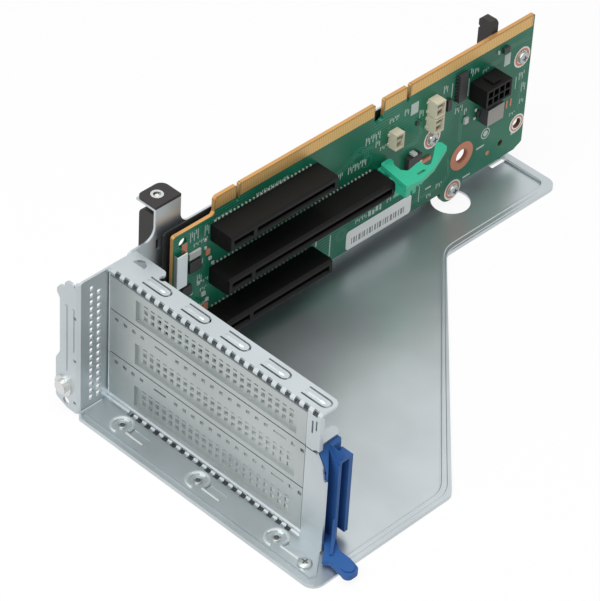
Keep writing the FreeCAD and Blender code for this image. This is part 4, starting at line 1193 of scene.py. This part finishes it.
    def gold_corner(self, shape: Shape, y: float, z: float, radius: float, side: int) -> None:
        """Adds the gold round one corner of the board's edge.

        Args:
            shape: Shape that takes it.
            y: Place of the sharp corner along the board.
            z: Height of the sharp corner.
            radius: Radius of the round.
            side: Side of the corner on which the round's middle lies.
        """
        middle = (y + side * radius, z - radius)
        turns = [math.pi / 2 * step / self.corner_steps for step in range(self.corner_steps + 1)]
        inner, outer = ([(middle[0] - side * (radius + reach) * math.sin(turn),
                          middle[1] + (radius + reach) * math.cos(turn)) for turn in turns]
                        for reach in self.corner_reaches)
        for step in range(self.corner_steps):
            shape.prism([inner[step], inner[step + 1], outer[step + 1], outer[step]], Axis.X,
                        self.gold_skin[0], self.gold_front)

    def edge_plate(self) -> None:
        """Builds the gold along the board's upper edge, between its notches."""
        shape = Shape()
        back, front = self.gold_skin
        for start, end in self.gold_runs:
            shape.block((back, start + self.top_insets[0], self.gold_top[0]),
                        (front, end - self.top_insets[1], self.gold_top[1]))
            shape.block((0.0, start, self.gold_band[0]), (self.gold_front, end, self.gold_band[1]))
            shape.block((0.0, start + self.lip_insets[0], self.gold_lip[0]),
                        (self.gold_front, end - self.lip_insets[1], self.gold_lip[1]))
        for y, low, high in self.gold_sides:
            shape.block((back, y, low), (front, y + self.gold_side, high))
        (near, low), (far, high) = self.gold_step
        shape.block((back, near, low), (front, far, high))
        shape.prism(self.gold_fillet, Axis.X, back, self.gold_front)
        for corner in self.gold_corners:
            self.gold_corner(shape, *corner)
        self.make(shape, "gold_edge", Finish.EDGE, Slot.CONTACT_GOLD)

    def build(self) -> None:
        """Builds every piece of the group."""
        self.soldered()
        self.printed()
        self.traces()
        self.coil_front()
        self.label()
        self.clip()
        self.edge_plate()


@dataclass
class FrameDetails(Group):
    """Ridges, beads, embossed rings and hollow studs of the folded sheets."""

    # Rail: its spring fingers, and the row of small holes in its fold
    rail_top: float = 63.3
    finger_roots: tuple[float, ...] = (9.0, 29.0, 49.0, 69.0, 89.0)
    finger_line: float = 5.8
    finger_reach: float = 9.8
    # Place along the finger as a share of its reach, half width and height of the ridge there
    finger_sections: tuple[Row, ...] = (
        (0.0, 0.3, 0.02), (0.08, 0.8, 0.3), (0.2, 1.0, 0.45),
        (0.8, 1.0, 0.45), (0.93, 0.8, 0.3), (1.0, 0.3, 0.02),
    )
    finger_turns: tuple[float, ...] = (0.0, 0.7, 1.2, 1.94, 2.44, math.pi)
    sunk: float = 0.02
    vents: int = 23
    vent_first: float = -0.4
    vent_pitch: float = 4.54
    vent_half: float = 1.18

    # Painted shade: dark strips behind the holes, those of the rail's fold, of its vents and of the foot's
    # fold
    rail_shade: tuple[Point, Point] = ((-2.4, 1.22, -3.9), (100.4, 1.32, -1.05))
    vent_shade: tuple[Pair, Pair] = ((0.08, -2.1), (1.22, -2.0))
    foot_shade: tuple[Point, Point] = ((8.0, -1.5, 1.0), (100.0, 1.1, 1.1))

    # Clinches of the foot: ring with its tail, and hollow stud with a dark disc of painted shade in its
    # hollow
    clinches: tuple[float, ...] = (10.7, 50.85, 91.0)
    clinch_line: float = -6.8
    foot_top: float = 2.0
    ring_radius: float = 4.3
    ring_half: float = 0.6
    ring_points: int = 22
    ring_first: float = -8.0
    ring_step: float = 14.0
    tail_drop: float = 1.95
    tail_half: float = 0.45
    tail_points: tuple[float, ...] = (4.2, 5.0, 9.0, 13.0)
    dish_floor: float = 1.5
    cup_profile: tuple[Pair, ...] = ((1.8, 0.0), (1.8, 0.5), (1.6, 0.62), (1.1, 0.5), (0.9, 0.15))
    shade_shift: Pair = (-0.2, 0.3)
    heart_profile: tuple[Pair, ...] = ((0.8, 0.1), (0.8, 0.45), (0.5, 0.52))

    # Beads along the tray's edge: the corners that the edge has in plan, and each bead's inset
    tray_right: float = 118.0
    tray_inner: float = 22.9
    slope_ends: Pair = (56.0, 156.0)
    slope_share: float = 0.42
    tray_end: float = 222.5
    bead_start: float = -2.0
    outer_bead: float = 1.2
    outer_last: float = 212.0
    inner_bead: float = 3.3
    bead_half: float = 0.6
    bead_rise: float = 0.2
    bead_bend: float = 5.0
    hem_top: float = 1.8

    def finger_ridges(self) -> None:
        """Builds the rounded ridge along each spring finger."""
        shape = Shape()
        for root in self.finger_roots:
            shape.lofted([[(root + share * self.finger_reach,
                            self.finger_line + width * math.cos(turn),
                            self.rail_top + height * math.sin(turn) - self.sunk)
                           for turn in self.finger_turns]
                          for share, width, height in self.finger_sections])
        self.make(shape, "finger_ridges", Finish.SHEET, Slot.SHEET_STEEL)

    def ridge(self, shape: Shape, path: Sequence[Pair], half: float, rise: float, level: float) -> None:
        """Adds a low rounded ridge along a path in plan.

        Args:
            shape: Shape that takes it.
            path: Points of its middle line.
            half: Half of its width.
            rise: Its height.
            level: Height that it stands on.
        """
        sides = ((-half, -self.sunk), (-half / 2, rise), (half / 2, rise), (half, -self.sunk))
        rings = []
        for index, (x, y) in enumerate(path):
            before = path[max(index - 1, 0)]
            after = path[min(index + 1, len(path) - 1)]
            run = math.hypot(after[0] - before[0], after[1] - before[1])
            across = ((before[1] - after[1]) / run, (after[0] - before[0]) / run)
            rings.append([(x + across[0] * offset, y + across[1] * offset, level + height)
                          for offset, height in sides])
        shape.lofted(rings)

    def clinch_rings(self) -> None:
        """Builds the raised rings and tails pressed round the clinches, in lighter steel that is a painted
        highlight.
        """
        shape = Shape()
        turns = [math.radians(self.ring_first + self.ring_step * point) for point in range(self.ring_points)]
        for x in self.clinches:
            ring = [(x + self.ring_radius * math.cos(turn),
                     self.clinch_line + self.ring_radius * math.sin(turn)) for turn in turns]
            tail = [(x + reach, self.clinch_line - self.tail_drop) for reach in self.tail_points]
            self.ridge(shape, ring, self.ring_half, self.ring_half, self.foot_top)
            self.ridge(shape, tail, self.tail_half, self.tail_half, self.foot_top)
        self.make(shape, "clinch_rings", Finish.RIM, Slot.SHEET_STEEL)

    def clinch_cups(self) -> None:
        """Builds the hollow studs of the clinches, in place of the plain ones, and the dark discs of painted
        shade in their hollows.
        """
        studs = Shape()
        cup_shades = Shape()
        for x in self.clinches:
            studs.turned((x, self.clinch_line, self.dish_floor), Axis.Z, self.cup_profile)
            cup_shades.turned((x + self.shade_shift[0], self.clinch_line + self.shade_shift[1], self.dish_floor),
                          Axis.Z, self.heart_profile)
        cups = self.make(studs, "clinch_cups", Finish.DULL, Slot.SCREW_STEEL)
        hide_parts("clinch_studs")
        # The dark discs are painted shade in the cups' hollows
        self.make(cup_shades, "clinch_cup_shade", Finish.SHADOW, Slot.SCREW_STEEL)

    def hem_beads(self) -> None:
        """Builds the two rounded beads that run along the tray's hemmed edge."""
        shape = Shape()
        low, high = self.slope_ends
        for inset in (self.outer_bead, self.inner_bead):
            right, inner = self.tray_right - inset, self.tray_inner - inset
            corners = [(right, self.bead_start), (right, low - self.slope_share * inset),
                       (inner, high + self.slope_share * inset)]
            if inset == self.inner_bead:
                corners += [(inner, self.tray_end - inset), (self.bead_start, self.tray_end - inset)]
            else:
                corners.append((inner, self.outer_last))
            path = eased_path(corners, self.bead_bend)
            self.ridge(shape, path, self.bead_half, self.bead_rise, self.hem_top)
        self.make(shape, "hem_beads", Finish.SHEET, Slot.SHEET_STEEL)

    def fold_shades(self) -> None:
        """Builds the dark strips of painted shade that give the small holes in the two folds their depth."""
        shape = Shape()
        (x0, y0, z0), (x1, y1, z1) = self.rail_shade
        shape.block((x0, y0, self.rail_top + z0), (x1, y1, self.rail_top + z1))
        shape.block(*self.foot_shade)
        (y0, z0), (y1, z1) = self.vent_shade
        for index in range(self.vents):
            x = self.vent_first + index * self.vent_pitch
            shape.block((x - self.vent_half, y0, self.rail_top + z0),
                        (x + self.vent_half, y1, self.rail_top + z1))
        self.make(shape, "fold_shades", Finish.SHADOW, Slot.SHEET_STEEL)

    def build(self) -> None:
        """Builds every piece of the group."""
        self.fold_shades()
        self.finger_ridges()
        self.clinch_rings()
        self.clinch_cups()
        self.hem_beads()


@dataclass
class TowerCap(Group):
    """Bright heart of the bushing in the tower's cap."""

    bushing: Pair = (-11.4, 29.7)
    cap_top: float = 77.8
    heart_profile: tuple[Pair, ...] = ((0.9, -1.0), (0.9, -0.6), (0.6, -0.5))

    def build(self) -> None:
        """Builds the heart."""
        heart = Shape().turned((*self.bushing, self.cap_top), Axis.Z, self.heart_profile)
        self.make(heart, "bushing_heart", Finish.RING, Slot.BUSHING_BRIGHT)


@dataclass
class CageScrews(Group):
    """Rounded head of the screw in the foot, and its cross recess as a dark cross of painted shade."""

    foot_place: Point = (107.4, -9.1, 3.5)
    seat: float = 2.0
    shank_end: float = 0.2
    shank_radius: float = 1.4
    # Shares of the head's radius, and depths below its top
    head_profile: tuple[Pair, ...] = ((0.96, 0.6), (0.8, 0.2), (0.5, 0.0))
    head_rounding: float = 0.05
    cross_reach: float = 1.4
    cross_half: float = 0.3
    cross_depth: float = 0.02
    cross_rise: float = 0.03

    def head(self) -> None:
        """Builds the rounded head with its shank, in place of the plain screw."""
        low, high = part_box("foot_screw")
        radius = (high[0] - low[0]) * MM_IN_METRE / 2
        x, y, top = self.foot_place
        dome = [(radius * share, top - depth) for share, depth in self.head_profile]
        shape = Shape().turned((x, y, 0.0), Axis.Z, [
            (self.shank_radius, self.shank_end), (self.shank_radius, self.seat), (radius, self.seat), *dome])
        head = self.make(shape, "foot_screw_head", Finish.COVER, Slot.SCREW_STEEL, self.head_rounding)
        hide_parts("foot_screw")

    def recess(self) -> None:
        """Builds the dark cross, painted shade standing for the recess."""
        x, y, top = self.foot_place
        shape = Shape().cross((x, y), Axis.Z, top - self.cross_depth, top + self.cross_rise, self.cross_reach,
                              self.cross_half)
        self.make(shape, "cage_screw_cross_shade", Finish.SHADOW, Slot.SCREW_STEEL)

    def build(self) -> None:
        """Builds the group."""
        self.head()
        self.recess()


# Room, light and camera


@dataclass
class Studio:
    """Plain pale floor, soft lamps and a white surround."""

    floor_size: float = 6.0
    floor_level: float = -0.0002
    floor_tone: float = 0.86
    floor_roughness: float = 0.9
    floor_glow: float = 0.9
    fill_strength: float = 0.30
    # Name, place, aim, side length in metres and watts of each lamp
    lamps: tuple[tuple[str, Point, Point, float, float], ...] = (
        ("key lamp", (0.15, -1.0, 0.95), (0.0, 0.0, 0.03), 0.7, 9.5),
        ("top lamp", (0.0, -0.1, 1.5), (0.0, 0.0, 0.0), 0.9, 11.5),
    )

    def seen_white(self, tree: bpy.types.NodeTree) -> bpy.types.NodeSocket:
        """Adds a switch that is one for camera, glossy and transmission rays.

        Args:
            tree: Node tree of the floor or the surround.

        Returns:
            The switch's socket.
        """
        path = add_node(tree, "LightPath").outputs
        first = add_node(tree, "Math", {0: path["Is Camera Ray"], 1: path["Is Glossy Ray"]},
                         operation="ADD", use_clamp=True)
        second = add_node(tree, "Math", {0: first.outputs["Value"], 1: path["Is Transmission Ray"]},
                          operation="ADD", use_clamp=True)
        return second.outputs["Value"]

    def floor(self) -> None:
        """Builds the floor, white to the camera apart from the part's soft shadow."""
        bpy.ops.mesh.primitive_plane_add(size=self.floor_size, location=(0, 0, self.floor_level))
        floor = bpy.context.active_object
        floor.name = "studio_floor"
        material, tree, shader = new_material("pale floor")
        tone = self.floor_tone
        feed(tree, shader, {"Base Color": (tone, tone, tone, 1.0), "Roughness": self.floor_roughness})
        glow = add_node(tree, "Emission", {"Color": WHITE})
        share = add_node(tree, "Math", {0: self.seen_white(tree), 1: self.floor_glow}, operation="MULTIPLY")
        mix = add_node(tree, "MixShader", {
            "Fac": share.outputs["Value"], 1: shader.outputs["BSDF"], 2: glow.outputs["Emission"]})
        feed(tree, node_of_type(tree, "OUTPUT_MATERIAL"), {"Surface": mix.outputs["Shader"]})
        floor.data.materials.append(material)

    def surround(self) -> None:
        """Sets the world: white where it is seen, a plain fill light elsewhere."""
        world = bpy.data.worlds.new("studio surround")
        bpy.context.scene.world = world
        world.use_nodes = True
        tree = world.node_tree
        fill = node_of_type(tree, "BACKGROUND")
        feed(tree, fill, {"Color": WHITE, "Strength": self.fill_strength})
        seen = add_node(tree, "Background", {"Color": WHITE, "Strength": 1.0})
        mix = add_node(tree, "MixShader", {
            "Fac": self.seen_white(tree), 1: fill.outputs["Background"], 2: seen.outputs["Background"]})
        feed(tree, node_of_type(tree, "OUTPUT_WORLD"), {"Surface": mix.outputs["Shader"]})

    def lamp(self, name: str, place: Point, aim: Point, size: float, power: float) -> None:
        """Adds a square soft lamp.

        Args:
            name: Name of the lamp.
            place: Where it hangs, in metres.
            aim: Where it points.
            size: Side length in metres.
            power: Watts.
        """
        data = bpy.data.lights.new(name, "AREA")
        data.size = size
        data.energy = power
        lamp = bpy.data.objects.new(name, data)
        bpy.context.scene.collection.objects.link(lamp)
        lamp.location = place
        lamp.rotation_euler = (Vector(aim) - Vector(place)).to_track_quat("-Z", "Y").to_euler()

    def build(self) -> None:
        """Builds the floor, the surround and the lamps."""
        self.floor()
        self.surround()
        for lamp in self.lamps:
            self.lamp(*lamp)


@dataclass
class PhotoCamera:
    """Camera at the photograph's angle, in the modelling frame's millimetres."""

    datum: Datum
    place: Point = (663.3, -626.5, 817.8)
    turn: float = 42.503
    tilt: float = 39.920
    roll: float = -3.491
    focal_pixels: float = 3297.59
    image_width: int = 600
    sensor_width: float = 36.0
    sees_to: float = 50.0

    def build(self) -> None:
        """Builds the camera and makes it the scene's own."""
        turn, tilt, roll = (math.radians(value) for value in (self.turn, self.tilt, self.roll))
        forward = Vector((-math.sin(turn) * math.cos(tilt), math.cos(turn) * math.cos(tilt),
                          -math.sin(tilt)))
        right = Vector((math.cos(turn), math.sin(turn), 0.0))
        down = forward.cross(right)
        across = math.cos(roll) * right + math.sin(roll) * down
        below = -math.sin(roll) * right + math.cos(roll) * down
        data = bpy.data.cameras.new("photo camera")
        data.sensor_width = self.sensor_width
        data.sensor_fit = "HORIZONTAL"
        data.lens = self.focal_pixels / self.image_width * self.sensor_width
        data.clip_end = self.sees_to
        camera = bpy.data.objects.new("photo camera", data)
        bpy.context.scene.collection.objects.link(camera)
        axes = Matrix((across, -below, -forward)).transposed().to_4x4()
        camera.matrix_world = Matrix.Translation(self.datum.place(self.place)) @ axes
        bpy.context.scene.camera = camera


def main() -> None:
    """Builds the looks of the part, then its room."""
    logging.basicConfig(level=logging.INFO, format="%(name)s: %(message)s")
    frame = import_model()
    bpy.context.scene.view_settings.view_transform = "Standard"
    palette = Palette()
    datum = Datum.from_nodes()
    SolidDress(palette).dress(frame)
    for kind in (BoardFixings, CardSockets, CableHeaders, BoardParts, FrameDetails, TowerCap, CageScrews):
        kind(palette, datum).build()
        log.info("%s built", kind.__name__)
    Studio().build()
    PhotoCamera(datum).build()


if __name__ == "__main__":
    main()
